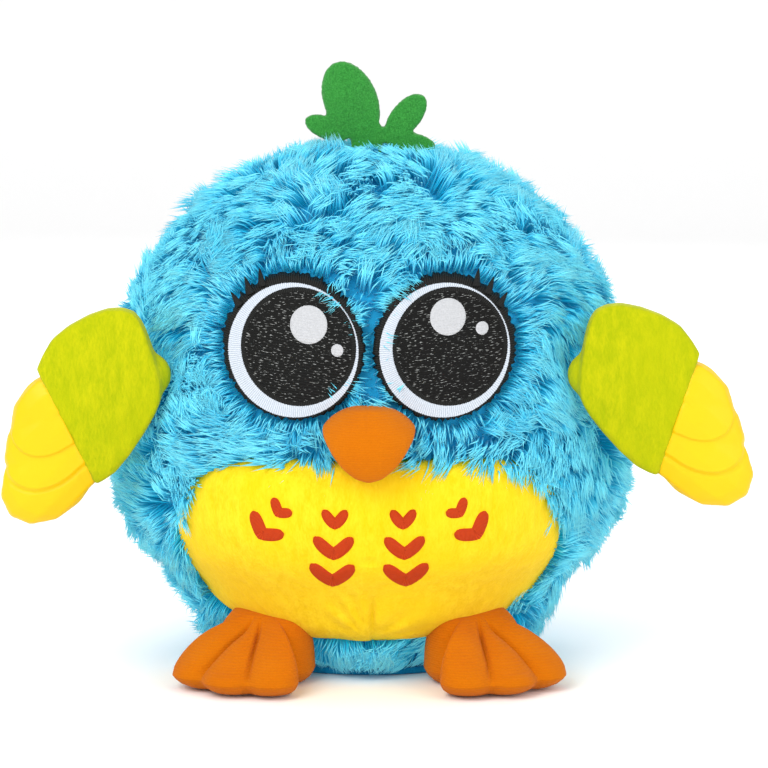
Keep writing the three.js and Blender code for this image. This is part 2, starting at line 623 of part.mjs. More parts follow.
function leafCrest() {
  const root = BODY.height - 10;
  const tall = LEAF.height;
  const lobes = [
    leafLobe(-6.5, root + tall * 0.62, tall * 0.62, tall * 0.46, 105),
    leafLobe(11.5, root + tall * 0.47, tall * 0.48, tall * 0.29, 48),
    leafLobe(-13, root + tall * 0.41, tall * 0.38, tall * 0.19, 150),
    leafLobe(13, root + tall * 0.28, tall * 0.34, tall * 0.18, -5),
    leafLobe(0, root + tall * 0.19, tall * 0.62, tall * 0.34, 90),
  ];
  return join(...lobes).subtract(bodyClear);
}

function foot(side) {
  const { toeLength, toeWidth, toeHeight, spread, turnOut, apart, forward } = FOOT;
  const toes = [-1, 0, 1].map((index) => {
    const turn = THREE.MathUtils.degToRad(side * turnOut + index * spread);
    const toe = new THREE.SphereGeometry(1, 14, 8).scale(toeWidth / 2, toeLength / 2, toeHeight / 2);
    toe.translate(0, -toeLength * 0.42, toeHeight * 0.36).rotateZ(turn);
    return solid(toe);
  });
  const heel = ball(0, 3, toeHeight * 0.36, toeWidth * 0.95, toeLength * 0.55, toeHeight * 0.5, 14, 8);
  const placed = join(heel, ...toes).translate([side * apart, -forward, 0]);
  const floor = block(-200, 200, -200, 200, -50, 0);
  return cut(placed, floor, bodyClear, bellyForm(GAP), basePlate(BASE.radius + GAP, -1, BODY.floor + GAP));
}

// An upright disc on the body's axis, as oval as the body.
function basePlate(radius, z0, z1, sides = 40) {
  const cylinder = new THREE.CylinderGeometry(radius, radius, z1 - z0, sides).rotateX(Math.PI / 2);
  cylinder.scale(1, BODY.halfDepth / BODY.halfWidth, 1).translate(0, 0, (z0 + z1) / 2);
  return solid(cylinder);
}

// ---------- assembly ----------
const pet = new THREE.Group();

function add(name, form, material) {
  const mesh = form.getMesh();
  const geometry = new THREE.BufferGeometry();
  geometry.setAttribute('position', new THREE.BufferAttribute(mesh.vertProperties, 3));
  geometry.setIndex(new THREE.BufferAttribute(mesh.triVerts, 1));
  geometry.computeVertexNormals();
  const node = new THREE.Mesh(geometry, material);
  node.name = name;
  pet.add(node);
  return node;
}

add('plush_body', plushBody(), MATERIAL.fur);
add('base_panel', basePlate(BASE.radius, 0, BASE.thickness), MATERIAL.fur);
add('belly_panel', bellyForm(0), MATERIAL.belly);
add('beak', beak(), MATERIAL.knit);
add('leaf_crest', leafCrest(), MATERIAL.felt);
const flapRoom = moduleForm(0, MODULE.front, MODULE.rear + FLAP.clear);
add('closure_flap', flapForm(0, -FLAP.thickness).subtract(flapRoom), MATERIAL.fur);

for (const [name, side] of Object.entries(SIDES)) {
  add(`eye_patch_${name}`, eyePatch(side), MATERIAL.embroidery);
  add(`foot_${name}`, foot(side), MATERIAL.knit);
  const at = [side * PIVOT.x, 0, PIVOT.z];
  const handed = (form) => (side < 0 ? form.mirror([1, 0, 0]) : form).translate(at);
  add(`wing_plush_${name}`, handed(wingPlush()), MATERIAL.lime);
  add(`wing_tip_${name}`, handed(wingTip()), MATERIAL.vinyl);
  add(`wing_arm_${name}`, handed(wingArm()), MATERIAL.shell);
  add(`sector_gear_${name}`, handed(sector()), MATERIAL.gear);
  const shaft = bar(0, 0, SHAFT.diameter / 2, WING.plane, LAYER.coverBack + 2.5, 20);
  add(`wing_shaft_${name}`, handed(shaft), MATERIAL.steel);
}

// Hook strip on the body below the access opening; it grips the flap's looped lining.
function hookStrip() {
  const window = block(-STRIP.halfWidth, STRIP.halfWidth, 5, BODY.halfDepth + 5, STRIP.low, STRIP.high);
  return bodyForm(-FLAP.thickness - GAP).subtract(bodyForm(-FLAP.seat + GAP)).intersect(window);
}

add('housing_front', housingFront(), MATERIAL.shell);
add('housing_rear', housingRear(), MATERIAL.shell);
screwPlaces.forEach(({ x, z }, i) => {
  add(`housing_screw_${i + 1}`, screw(x, z, screwSeat, SCREW.length), MATERIAL.steel);
});
add('battery_door', batteryDoor(), MATERIAL.shell);
add('battery_door_screw', screw(doorScrew.x, doorScrew.z, MODULE.rear - 1, SCREW.doorLength), MATERIAL.steel);

// Three cells in a stack, each turned end for end from the last, with a spring and a plate.
function cell(direction) {
  const r = CELL.diameter / 2;
  const points = [
    [0, 0],
    [r - 0.8, 0],
    [r, 0.8],
    [r, CELL.length - 0.8],
    [r - 0.8, CELL.length],
    [CELL.nubDiameter / 2, CELL.length],
    [CELL.nubDiameter / 2, CELL.length + CELL.nub],
    [0, CELL.length + CELL.nub],
  ].map(([x, y]) => new THREE.Vector2(x, y));
  const can = new THREE.LatheGeometry(points, 18).rotateZ((-direction * Math.PI) / 2);
  return solid(can.translate((-direction * (CELL.length + CELL.nub)) / 2 + direction * 1.9, 0, 0));
}

function batterySpring(direction) {
  const turns = 3;
  const [from, length] = [POCKET.halfWidth - 0.8, 2.4];
  class Conical extends THREE.Curve {
    getPoint(t) {
      const [angle, r] = [2 * Math.PI * turns * t, 4.4 - 1.9 * t];
      const x = -direction * (from - 0.35 - t * length);
      return new THREE.Vector3(x, r * Math.cos(angle), r * Math.sin(angle));
    }
  }
  return coil(new Conical(), 0.28, 21, 4);
}

for (let i = 0; i < 3; i++) {
  const direction = i % 2 ? -1 : 1;
  const z = POCKET.low + 0.3 + CELL_PITCH * (i + 0.5);
  add(`battery_${i + 1}`, cell(direction).translate([0, cellAxisY, z]), MATERIAL.cell);
  add(`battery_spring_${i + 1}`, batterySpring(direction).translate([0, cellAxisY, z]), MATERIAL.steel);
  const x = direction * (POCKET.halfWidth - 0.55);
  const contact = block(x - 0.25, x + 0.25, cellAxisY - 4.5, cellAxisY + 4.5, z - 5, z + 5);
  add(`contact_plate_${i + 1}`, contact, MATERIAL.steel);
}

// Circuit board with its chip, a capacitor and a connector.
const board = { x: 29, low: MODULE.low + 6, high: MODULE.low + 34, front: 6, thickness: 1.6 };
const boardParts = [
  block(-board.x + 2.5, board.x - 2.5, board.front, board.front + board.thickness, board.low, board.high),
  ball(-8, board.front, board.low + 14, 6, 1.6, 6, 14, 8),
  bar(14, board.low + 9, 3, board.front - 6, board.front + 0.5, 12),
  block(10, 21, board.front - 5, board.front + 0.5, board.high - 7, board.high - 2),
];
add('circuit_board', join(...boardParts), MATERIAL.board);

// Slide switch behind the rear wall, its lever out through the wall's slot.
const switchBack = MODULE.rear - MODULE.wall - GAP;
const switchHollow = block(
  SWITCH.x - 2 - SWITCH.travel / 2 - 0.3,
  SWITCH.x + 2 + SWITCH.travel / 2 + 0.3,
  switchBack - 3,
  switchBack + 1,
  SWITCH.z - 1.7,
  SWITCH.z + 1.7,
);
const switchCan = block(
  SWITCH.x - SWITCH.length / 2,
  SWITCH.x + SWITCH.length / 2,
  switchBack - SWITCH.depth,
  switchBack,
  SWITCH.z - SWITCH.height / 2,
  SWITCH.z + SWITCH.height / 2,
);
add('switch_body', cut(switchCan, switchHollow), MATERIAL.dark);
const leverX = SWITCH.x - SWITCH.travel / 2;
const [leverFront, leverBack] = [switchBack - 2.7, MODULE.rear + 1.6];
const lever = block(leverX - 2, leverX + 2, leverFront, leverBack, SWITCH.z - 1.2, SWITCH.z + 1.2);
add('switch_slider', lever, MATERIAL.dark);

// Loudspeaker: a steel frame with its magnet, and a paper cone with a dust cap.
const speakerFront = MODULE.front + MODULE.wall + GAP;
function revolve(points, sides, y, z) {
  const lathe = new THREE.LatheGeometry(points.map(([r, at]) => new THREE.Vector2(r, at)), sides);
  return solid(lathe.translate(0, y, z));
}
const speakerRadius = SPEAKER.diameter / 2;
const framePoints = [
  [0, 6.5],
  [8.4, 5],
  [speakerRadius - 3, 1],
  [speakerRadius - 3, 0],
  [speakerRadius, 0],
  [speakerRadius, 1.4],
  [speakerRadius - 2, 1.4],
  [11, 6],
  [10, 6],
  [10, SPEAKER.depth],
  [0, SPEAKER.depth],
];
const conePoints = [
  [0, 2.2],
  [4.5, 2.9],
  [speakerRadius - 4.6, 0.2],
  [speakerRadius - 3.4, 0.2],
  [8, 4.4],
  [0, 5.6],
];
add('speaker_frame', revolve(framePoints, 18, speakerFront, SPEAKER.height), MATERIAL.steel);
add('speaker_cone', revolve(conePoints, 18, speakerFront, SPEAKER.height), MATERIAL.cone);

const micBack = speakerFront + MICROPHONE.depth;
const capsule = bar(MICROPHONE.x, microphoneZ, MICROPHONE.radius, speakerFront, micBack, 14);
add('microphone', capsule, MATERIAL.steel);

// Belly press plate on a stem through the front wall, its spring, and the switch that it works.
const pressBack = MODULE.front - PRESS.standOff;
const pressPlate = join(
  bar(0, PRESS.height, PRESS.diameter / 2, pressBack - 2, pressBack, 24, PRESS.diameter / 2 - 0.8),
  bar(0, PRESS.height, PRESS.stem / 2, pressBack - 1, MODULE.front + 5, 14),
  bar(0, PRESS.height, 3.4, speakerFront, speakerFront + 1.2, 14, 2.6),
);
add('press_plate', pressPlate, MATERIAL.shell);
class PressCoil extends THREE.Curve {
  getPoint(t) {
    const angle = 2 * Math.PI * 2.5 * t;
    const y = THREE.MathUtils.lerp(pressBack + 0.7, MODULE.front - 0.7, t);
    return new THREE.Vector3(4 * Math.cos(angle), y, PRESS.height + 4 * Math.sin(angle));
  }
}
add('press_spring', coil(new PressCoil(), 0.35, 20, 4), MATERIAL.steel);
const tactFront = MODULE.front + 5 + PRESS.travel + 0.3;
const tactBody = block(-3, 3, tactFront + 0.8, tactFront + 4.2, PRESS.height - 3, PRESS.height + 3);
add('tact_switch', join(tactBody, bar(0, PRESS.height, 1.7, tactFront, tactFront + 1, 12)), MATERIAL.dark);
const padFront = tactFront + 4.5;
const switchBoard = block(-7, 7, padFront, padFront + 1.6, PRESS.height - 7, PRESS.height + 7);
add('switch_board', switchBoard, MATERIAL.board);

// Cover that closes the shoulder beam and keeps the yoke in its channel.
function yokeCover() {
  const { coverFront: front, coverBack: back } = LAYER;
  const beam = beamForm(MODULE.wall + GAP, front, back);
  const window = bar(0, crankCentre.z, CRANK_THROW + CRANK.pinDiameter / 2 + 0.9, front - 1, back + 1, 24);
  const boreRadius = SHAFT.diameter / 2 + 0.15;
  const bores = [-1, 1].map((side) => bar(side * PIVOT.x, PIVOT.z, boreRadius, front - 1, back + 1, 20));
  const ceiling = MODULE.high - MODULE.wall - GAP;
  const roof = block(-PIVOT.x, PIVOT.x, front - 1, back + 1, ceiling, PIVOT.z + BEAM.above);
  const inBox = block(-MODULE.halfWidth - GAP, MODULE.halfWidth + GAP, front - 1, back + 1, 0, PIVOT.z + 50);
  return cut(beam, window, ...bores, roof.intersect(inBox));
}
add('yoke_cover', yokeCover(), MATERIAL.shell);
add('yoke_slider', yoke(), MATERIAL.gear);

// Gear plate that carries the axles and the motor.
function gearPlate() {
  const { plateFront: front, plateBack: back } = LAYER;
  const form = plate(roundedRect(-28, 28, firstCentre.z - 9, MODULE.high - 3, 3), front, back, 2);
  const hole = ({ x, z }) => bar(x, z, AXLE.diameter / 2 + 0.1, front - 1, back + 1, 16);
  const holes = train.slice(0, 3).map(hole);
  const nose = bar(motorCentre.x, motorCentre.z, 3.2, front - 1, back + 1, 16);
  return cut(form, ...holes, nose);
}
add('gear_plate', gearPlate(), MATERIAL.shell);

const axleNames = ['crank_axle', 'gear_axle_2', 'gear_axle_1'];
const axleFronts = [LAYER.crankFront + 1, LAYER.crankFront, LAYER.secondFront - 0.2];
axleNames.forEach((name, i) => {
  const { x, z } = train[i];
  add(name, bar(x, z, AXLE.diameter / 2, axleFronts[i], LAYER.plateBack, 16), MATERIAL.steel);
});

function bored(gear, { x, z }, front = -50) {
  return gear.subtract(bar(x, z, GEAR.bore, front, 50, 20));
}

// Crank gear: the pin that works the yoke stands on its front face.
const { crankFront } = LAYER;
const crankWheel = join(
  gearWheel(GEAR.large, crankCentre.x, crankCentre.z, crankFront, crankFront + 4, gapToward(TRAIN_TURNS[0])),
  bar(crankCentre.x, crankCentre.z, GEAR.hub, crankFront + 3, LAYER.plateFront - 0.4, 16),
);
const pinFront = LAYER.yokeBack + CRANK.pinShort;
const pinZ = crankCentre.z + CRANK_THROW;
const crankPin = bar(crankCentre.x, pinZ, CRANK.pinDiameter / 2, pinFront, crankFront + 1, 16);
add('crank_gear', join(bored(crankWheel, crankCentre, crankFront + 0.8), crankPin), MATERIAL.gear);

// Compound gears: a large wheel driven by the stage before, a small one driving the stage after.
function compound(centre, front, nextTurn, lastTurn) {
  const { x, z } = centre;
  const small = gearWheel(GEAR.small, x, z, front - GEAR.shoulder + 0.6, front + 0.5, nextTurn);
  const large = gearWheel(GEAR.large, x, z, front, front + GEAR.face, gapToward(lastTurn));
  return bored(join(small, large), centre);
}
const back = (turn) => turn + Math.PI;
const [crankTurn, secondTurn, firstTurn] = TRAIN_TURNS;
const secondGear = compound(secondCentre, LAYER.secondFront, back(crankTurn), secondTurn);
const firstGear = compound(firstCentre, LAYER.firstFront, back(secondTurn), firstTurn);
add('compound_gear_2', secondGear, MATERIAL.gear);
add('compound_gear_1', firstGear, MATERIAL.gear);
const pinion = gearWheel(
  GEAR.small,
  motorCentre.x,
  motorCentre.z,
  LAYER.firstFront - 0.4,
  LAYER.plateFront - 0.6,
  back(firstTurn),
);
const shaftHole = bar(motorCentre.x, motorCentre.z, MOTOR.shaft / 2 + 0.06, -50, 50, 16);
add('motor_pinion', pinion.subtract(shaftHole), MATERIAL.gear);
const rotorBack = LAYER.plateBack + 4;
const motorShaft = bar(motorCentre.x, motorCentre.z, MOTOR.shaft / 2, LAYER.firstFront - 1, rotorBack, 16);
add('motor_shaft', motorShaft, MATERIAL.steel);

// Motor: a can with two flats, a nose bearing and a rear cap.
function motor() {
  const { x, z } = motorCentre;
  const front = LAYER.plateBack + GAP;
  const can = bar(x, z, MOTOR.width / 2, front, front + MOTOR.length, 24);
  const flats = block(x - 11, x + 11, front - 1, front + 40, z - MOTOR.height / 2, z + MOTOR.height / 2);
  const cap = bar(x, z, 3, front + MOTOR.length - 1, front + MOTOR.length + 1.6, 14);
  const hole = bar(x, z, MOTOR.shaft / 2 + 0.15, front - 1, rotorBack + GAP, 16);
  return cut(join(can.intersect(flats), cap), hole);
}
add('motor', motor(), MATERIAL.steel);

add('hook_strip', hookStrip(), MATERIAL.tape);

export default pet;
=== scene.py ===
import bpy
import bmesh
import json
import math
import numpy as np
from mathutils import Matrix, Vector, noise
from mathutils.bvhtree import BVHTree


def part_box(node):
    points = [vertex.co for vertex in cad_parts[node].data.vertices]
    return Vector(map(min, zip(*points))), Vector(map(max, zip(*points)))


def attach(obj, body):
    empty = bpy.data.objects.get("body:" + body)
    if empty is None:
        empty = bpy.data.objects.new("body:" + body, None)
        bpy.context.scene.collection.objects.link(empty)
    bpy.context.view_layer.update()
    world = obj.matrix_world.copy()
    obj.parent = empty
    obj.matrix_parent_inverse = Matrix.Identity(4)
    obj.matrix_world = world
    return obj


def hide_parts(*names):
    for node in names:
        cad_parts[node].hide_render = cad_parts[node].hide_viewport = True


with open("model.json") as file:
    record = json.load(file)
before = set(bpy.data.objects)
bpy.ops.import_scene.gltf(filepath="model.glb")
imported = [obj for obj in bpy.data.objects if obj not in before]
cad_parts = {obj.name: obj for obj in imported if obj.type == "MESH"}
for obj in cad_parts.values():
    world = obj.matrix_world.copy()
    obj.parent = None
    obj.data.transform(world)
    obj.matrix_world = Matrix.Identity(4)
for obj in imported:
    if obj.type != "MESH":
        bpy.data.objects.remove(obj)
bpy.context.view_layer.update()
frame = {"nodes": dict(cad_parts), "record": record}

MM = 0.001
NODES = frame["nodes"]
rng = np.random.default_rng(7)
noise.seed_set(7)


# ---------- shader maths ----------
class Value:
    """A socket in a material's maths; an operator adds its Math node."""

    def __init__(self, finish, socket):
        self.finish, self.socket = finish, socket

    def maths(self, operation, *values):
        return self.finish.maths(operation, *values)

    def __add__(self, other):
        return self.maths("ADD", self, other)

    def __sub__(self, other):
        return self.maths("SUBTRACT", self, other)

    def __mul__(self, other):
        return self.maths("MULTIPLY", self, other)

    __radd__, __rmul__ = __add__, __mul__

    def below(self, other):
        return self.maths("LESS_THAN", self, other)

    def above(self, other):
        return self.maths("GREATER_THAN", self, other)

    def steps(self, low, high):
        """0 below low, 1 above high, smooth between."""
        settings = {"interpolation_type": "SMOOTHSTEP"}
        return self.finish.node("ShaderNodeMapRange", settings, self, low, high)


class Finish:
    """A material under construction, with its Principled shader."""

    def __init__(self, name, **plain):
        self.material = bpy.data.materials.new(name)
        self.material.use_nodes = True
        self.tree = self.material.node_tree
        self.shader = self.tree.nodes["Principled BSDF"]
        for socket, value in plain.items():
            self.shader.inputs[socket.replace("_", " ")].default_value = value

    def node(self, kind, settings=None, *inputs, out=0, **named):
        made = self.tree.nodes.new(kind)
        for key, value in (settings or {}).items():
            setattr(made, key, value)
        sockets = [(made.inputs[i], v) for i, v in enumerate(inputs)]
        sockets += [(made.inputs[k.replace("_", " ")], v) for k, v in named.items()]
        for socket, value in sockets:
            if isinstance(value, Value):
                self.tree.links.new(value.socket, socket)
            elif value is not None:
                socket.default_value = value
        return Value(self, made.outputs[out])

    def maths(self, operation, *values):
        return self.node("ShaderNodeMath", {"operation": operation}, *values)

    def place(self):
        return self.node("ShaderNodeTexCoord", out=3)

    def moved(self, vector, location=(0, 0, 0), rotation=(0, 0, 0), scale=(1, 1, 1)):
        return self.node("ShaderNodeMapping", None, vector, location, rotation, scale)

    def axes(self, vector):
        made = self.node("ShaderNodeSeparateXYZ", None, vector).socket.node
        return [Value(self, made.outputs[i]) for i in range(3)]

    def grain(self, vector, scale, detail=2.0, rough=0.5):
        named = {"Scale": scale, "Detail": detail, "Roughness": rough}
        return self.node("ShaderNodeTexNoise", None, Vector=vector, **named)

    def mix(self, share, first, second):
        settings = {"data_type": "RGBA"}
        made = self.node("ShaderNodeMix", settings, share).socket.node
        for socket, value in zip((made.inputs[6], made.inputs[7]), (first, second)):
            if isinstance(value, Value):
                self.tree.links.new(value.socket, socket)
            else:
                socket.default_value = value
        return Value(self, made.outputs[2])

    def feed(self, **links):
        for socket, value in links.items():
            self.tree.links.new(value.socket, self.shader.inputs[socket.replace("_", " ")])

    def bump(self, height, strength, distance):
        bump = self.node("ShaderNodeBump", None, Strength=strength, Distance=distance, Height=height)
        self.feed(Normal=bump)


def colour(red, green, blue):
    """A colour by its display values from 0 to 255, as the shader's linear numbers."""
    def linear(c):
        c /= 255
        return c / 12.92 if c <= 0.04045 else ((c + 0.055) / 1.055) ** 2.4
    return (linear(red), linear(green), linear(blue), 1)


# ---------- finishes ----------
def fur_finish():
    """Long pile: saturated at the root, pale at the tip, with every fibre and lock a little different, and a
    faint glow in its own colour that is painted light lifting the shade inside the pile.
    """
    f = Finish("long_pile", Roughness=0.8, Sheen_Weight=0.12, Specular_IOR_Level=0.15, Emission_Strength=0.2)
    pile = f.node("ShaderNodeAttribute", {"attribute_name": "pile"})
    along, fibre, lock = f.axes(pile)
    tip = along.steps(0.15, 1.0) * (0.6 + lock * 0.4) + (fibre - 0.5) * 0.3
    base = f.mix(tip.steps(0.0, 1.0), colour(0, 166, 206), colour(122, 224, 240))
    # The pile's colour also feeds its emission: painted light, a faint glow standing in for light passing
    # through the fibres.
    f.feed(Base_Color=base, Emission_Color=base)
    return f.material


def skin_finish():
    f = Finish("pile_backing", Roughness=0.9)
    spot = f.grain(f.place(), 420, 3)
    f.feed(Base_Color=f.mix(spot, colour(0, 125, 175), colour(6, 160, 205)))
    f.bump(spot, 0.5, 0.6 * MM)
    return f.material


def plush_finish(name, deep, mid, pale, lay):
    """Short dense pile: fine hairs that lie one way, with soft lighter and darker strokes; the tufts and
    strokes are painted sheen and shade, where the pile catches the light as it lies.
    """
    f = Finish(name, Roughness=0.9, Sheen_Weight=0.06, Specular_IOR_Level=0.08)
    place = f.place()
    turned = f.moved(place, rotation=lay, scale=(1, 1, 0.35))
    hair = f.grain(turned, 1500, 4, 0.65)
    tuft = f.grain(turned, 330, 2, 0.5)
    stroke = f.grain(place, 38, 2, 0.5)
    # The hairs' fine speckle is the pile's own uneven tone; the lighter and darker tufts, and the broad
    # strokes toward the middle tone, are painted sheen and shade.
    tone = f.mix((hair * 0.55 + tuft * 0.45).steps(0.3, 0.7), deep, pale)
    f.feed(Base_Color=f.mix(stroke.steps(0.35, 0.7) * 0.45 + 0.2, tone, mid))
    f.bump(hair * 0.5 + tuft, 0.55, 0.9 * MM)
    return f.material


def knit_finish():
    """Brushed knit: fine level ribs over a felted ground, with painted shade in the grooves between the ribs.
    """
    f = Finish("brushed_knit", Roughness=0.9, Sheen_Weight=0.04, Specular_IOR_Level=0.08)
    place = f.place()
    x, y, z = f.axes(place)
    wobble = f.grain(place, 300, 2)
    rib_pitch, rib_wander = 0.75 * MM, 0.4 * MM
    rib = f.maths("SINE", (z + (wobble - 0.5) * rib_wander) * (2 * math.pi / rib_pitch))
    fluff = f.grain(place, 1300, 4, 0.7)
    cloud = f.grain(place, 60, 2)
    ground = f.mix(cloud, colour(188, 98, 0), colour(200, 114, 0))
    # The darker orange that follows the ribs falls in their grooves, where the bump sinks: painted shade. The
    # part that follows the fluff is the yarn's own uneven tone.
    f.feed(Base_Color=f.mix((rib * 0.5 + 0.5) * 0.2 * fluff + fluff * 0.25, ground, colour(168, 70, 0)))
    f.bump(rib * -0.15 + fluff, 0.6, 0.4 * MM)
    return f.material


def felt_finish():
    f = Finish("wool_felt", Roughness=0.95, Sheen_Weight=0.3, Specular_IOR_Level=0.15)
    place = f.place()
    speck = f.grain(place, 1900, 5, 0.75)
    cloud = f.grain(place, 160, 3)
    tone = f.mix(speck.steps(0.3, 0.7), colour(20, 100, 26), colour(62, 156, 62))
    f.feed(Base_Color=f.mix(cloud * 0.5, tone, colour(40, 132, 44)))
    f.bump(speck, 0.8, 0.5 * MM)
    return f.material


def vinyl_finish():
    f = Finish("soft_vinyl", Roughness=0.45, Specular_IOR_Level=0.22)
    place = f.place()
    cloud = f.grain(place, 30, 2)
    fine = f.grain(place, 2600, 2)
    f.feed(Base_Color=f.mix(cloud, colour(222, 176, 0), colour(230, 190, 0)))
    f.feed(Roughness=cloud * 0.12 + 0.36)
    f.bump(fine, 0.12, 0.1 * MM)
    return f.material


def eye_finish(name, centre, radius, side):
    """Embroidered eye: satin-stitched rings round a disc of fill stitches, with two white highlights; the
    threads carry painted sheen and shade, as light glints along the fill rows and lighter crests on the
    rings' satin threads.
    """
    f = Finish(name, Roughness=0.65, Specular_IOR_Level=0.15)
    x, y, z = f.axes(f.place())
    unit = 1 / radius
    dx, dz = (x - centre[0]) * unit, (z - centre[2]) * unit

    def distance(cx, cz):
        ax, az = dx - cx, dz - cz
        return f.maths("SQRT", ax * ax + az * az)

    turn = f.maths("ARCTAN2", dz, dx)
    stitch = f.node("ShaderNodeCombineXYZ", None, turn * 52.0, 0.0, 0.0)
    jag = (f.grain(stitch, 1.0, 3, 0.8) - 0.5) * 0.055
    pale_reach = distance(*EYE_PALE["at"]) + jag
    iris_reach = distance(*EYE_IRIS["at"]) + jag
    rim = f.maths("SINE", turn * 190.0)
    slant = 0.12 * side
    row = f.node("ShaderNodeCombineXYZ", None, (dx + dz * slant) * 13.0, (dz - dx * slant) * 62.0, 0.0)
    # Light glints along the rows of black fill: painted sheen.
    sheen_fleck = f.grain(row, 1.0, 2, 0.6)
    thread = f.mix(sheen_fleck.steps(0.61, 0.67), colour(8, 8, 7), colour(140, 142, 140))
    # Each satin thread of the rings is painted lighter on its crest and darker in the gap to the next:
    # painted sheen and shade that follow the bump.
    black = f.mix(rim.steps(-1, 1), colour(8, 8, 8), colour(30, 31, 29))
    pale = f.mix(rim.steps(-1, 1), colour(168, 178, 190), colour(200, 206, 214))
    inside = f.mix(iris_reach.below(EYE_IRIS["radius"] - 0.06), black, thread)
    ringed = f.mix(pale_reach.below(EYE_PALE["radius"]), black, pale)
    tone = f.mix(iris_reach.below(EYE_IRIS["radius"]), ringed, inside)
    glint = f.grain(f.moved(f.place(), scale=(1, 1, 0.3)), 2200, 2)
    white = f.mix(glint, colour(164, 166, 169), colour(190, 191, 194))
    for spot in EYE_LIGHTS[side]:
        reach = distance(*spot["at"]) + jag * 0.6
        tone = f.mix(reach.below(spot["radius"]), tone, white)
    f.feed(Base_Color=tone)
    rows = f.maths("SINE", (dz - dx * slant) * 160.0)
    relief = f.mix(iris_reach.below(EYE_IRIS["radius"] - 0.06), rim, rows)
    f.bump(relief, 0.5, 0.16 * MM)
    return f.material


STITCH = 0.42     # millimetres from one satin thread to the next


def satin_finish(name, deep, pale):
    """Satin stitch: close threads across the stroke, read from the piece's own map, each painted paler on its
    crest and deeper in the gap to the next as painted sheen and shade.
    """
    f = Finish(name, Roughness=0.6, Specular_IOR_Level=0.15)
    u, v, w = f.axes(f.node("ShaderNodeTexCoord", out=2))
    line = f.maths("SINE", (u + v * 0.12) * (2 * math.pi / STITCH))
    blot = f.grain(f.place(), 700, 3)
    # The line term is painted sheen on each thread's crest and painted shade in its gaps; the blot is the
    # thread's own uneven tone.
    f.feed(Base_Color=f.mix(line.steps(-1, 1) * 0.6 + blot * 0.4, deep, pale))
    f.bump(line, 0.6, 0.14 * MM)
    return f.material


def plastic_finish(name, base, rough):
    f = Finish(name, Roughness=rough)
    place = f.place()
    fine, cloud = f.grain(place, 1700, 2), f.grain(place, 70, 2)
    darker = tuple(c * 0.86 for c in base[:3]) + (1,)
    f.feed(Base_Color=f.mix(cloud, darker, base), Roughness=cloud * 0.16 + (rough - 0.08))
    f.bump(fine, 0.25, 0.08 * MM)
    return f.material


def steel_finish():
    f = Finish("drawn_steel", Metallic=1.0, Roughness=0.3)
    streak = f.grain(f.moved(f.place(), scale=(1, 0.06, 1)), 2400, 3)
    f.feed(Base_Color=f.mix(streak, colour(168, 170, 172), colour(212, 214, 216)))
    f.feed(Roughness=streak * 0.2 + 0.22)
    f.bump(streak, 0.2, 0.04 * MM)
    return f.material


def board_finish():
    f = Finish("circuit_laminate", Roughness=0.4)
    place = f.place()
    laid = f.moved(place, rotation=(math.pi / 2, 0, 0))
    tracks = f.node("ShaderNodeTexBrick", None, Vector=laid, Scale=260.0)
    cell = f.grain(place, 900, 1)
    green = f.mix(cell, colour(18, 92, 48), colour(30, 116, 62))
    f.feed(Base_Color=f.mix(tracks.steps(0.4, 0.6) * 0.4, green, colour(58, 140, 84)))
    return f.material


def cell_finish():
    """Battery wrap: a dark sleeve with a bright band at the positive end."""
    f = Finish("cell_wrap", Roughness=0.3, Metallic=0.2)
    place = f.place()
    x, y, z = f.axes(place)
    band = f.grain(place, 40, 1)
    wrap = f.mix(band, colour(30, 56, 110), colour(42, 74, 140))
    f.feed(Base_Color=f.mix(x.above(14 * MM), wrap, colour(206, 140, 60)))
    return f.material


def tape_finish():
    f = Finish("hook_tape", Roughness=0.9)
    hooks = f.node("ShaderNodeTexVoronoi", None, Vector=f.place(), Scale=900.0)
    f.feed(Base_Color=f.mix(hooks, colour(60, 74, 84), colour(22, 30, 36)))
    f.bump(hooks, 1.0, 0.5 * MM)
    return f.material


# ---------- the body's form ----------
BODY = {"width": 85, "depth": 73, "low": 2.8, "high": 174}
PROFILE = [
    (0.53, 0), (0.66, 0.055), (0.78, 0.165), (0.93, 0.25), (1, 0.36), (1, 0.52),
    (0.945, 0.68), (0.82, 0.79), (0.62, 0.895), (0.34, 0.97), (0, 1),
]
SKIN_DEPTH = 3.0


def spline(points, count):
    """Points along a smooth curve through the given ones, in even steps of its parameter."""
    given = np.array(points, float)
    last = len(given) - 1
    t = np.linspace(0, last, count)
    i = np.minimum(t.astype(int), last - 1)
    w = (t - i)[:, None]
    p0, p1, p2, p3 = (given[np.clip(i + k, 0, last)] for k in (-1, 0, 1, 2))
    v0, v1 = (p2 - p0) / 2, (p3 - p1) / 2
    return (2 * p1 - 2 * p2 + v0 + v1) * w**3 + (-3 * p1 + 3 * p2 - 2 * v0 - v1) * w**2 + v0 * w + p1


def body_outline(grow=0.0, count=80):
    """Radius and height of the body's outline in metres, grown by an even allowance in millimetres."""
    low, high = BODY["low"] - grow, BODY["high"] + grow
    outline = spline(PROFILE, count) * [BODY["width"] + grow, high - low] + [0, low]
    return outline * MM


def body_front(x, z, grow=0.0):
    """Y of the body's front at x and z, in metres."""
    outline = body_outline(grow)
    radius = np.interp(z, outline[:, 1], outline[:, 0])
    share = (BODY["depth"] + grow) / (BODY["width"] + grow)
    return -share * np.sqrt(np.maximum(radius**2 - np.square(x), 1e-9))


# ---------- mesh helpers ----------
def only(obj):
    """Selects one object alone and makes it active."""
    bpy.ops.object.select_all(action="DESELECT")
    obj.select_set(True)
    bpy.context.view_layer.objects.active = obj
    return obj


def shown_as(name, data):
    """An object of the scene that shows a mesh, light or camera."""
    obj = bpy.data.objects.new(name, data)
    bpy.context.scene.collection.objects.link(obj)
    return obj


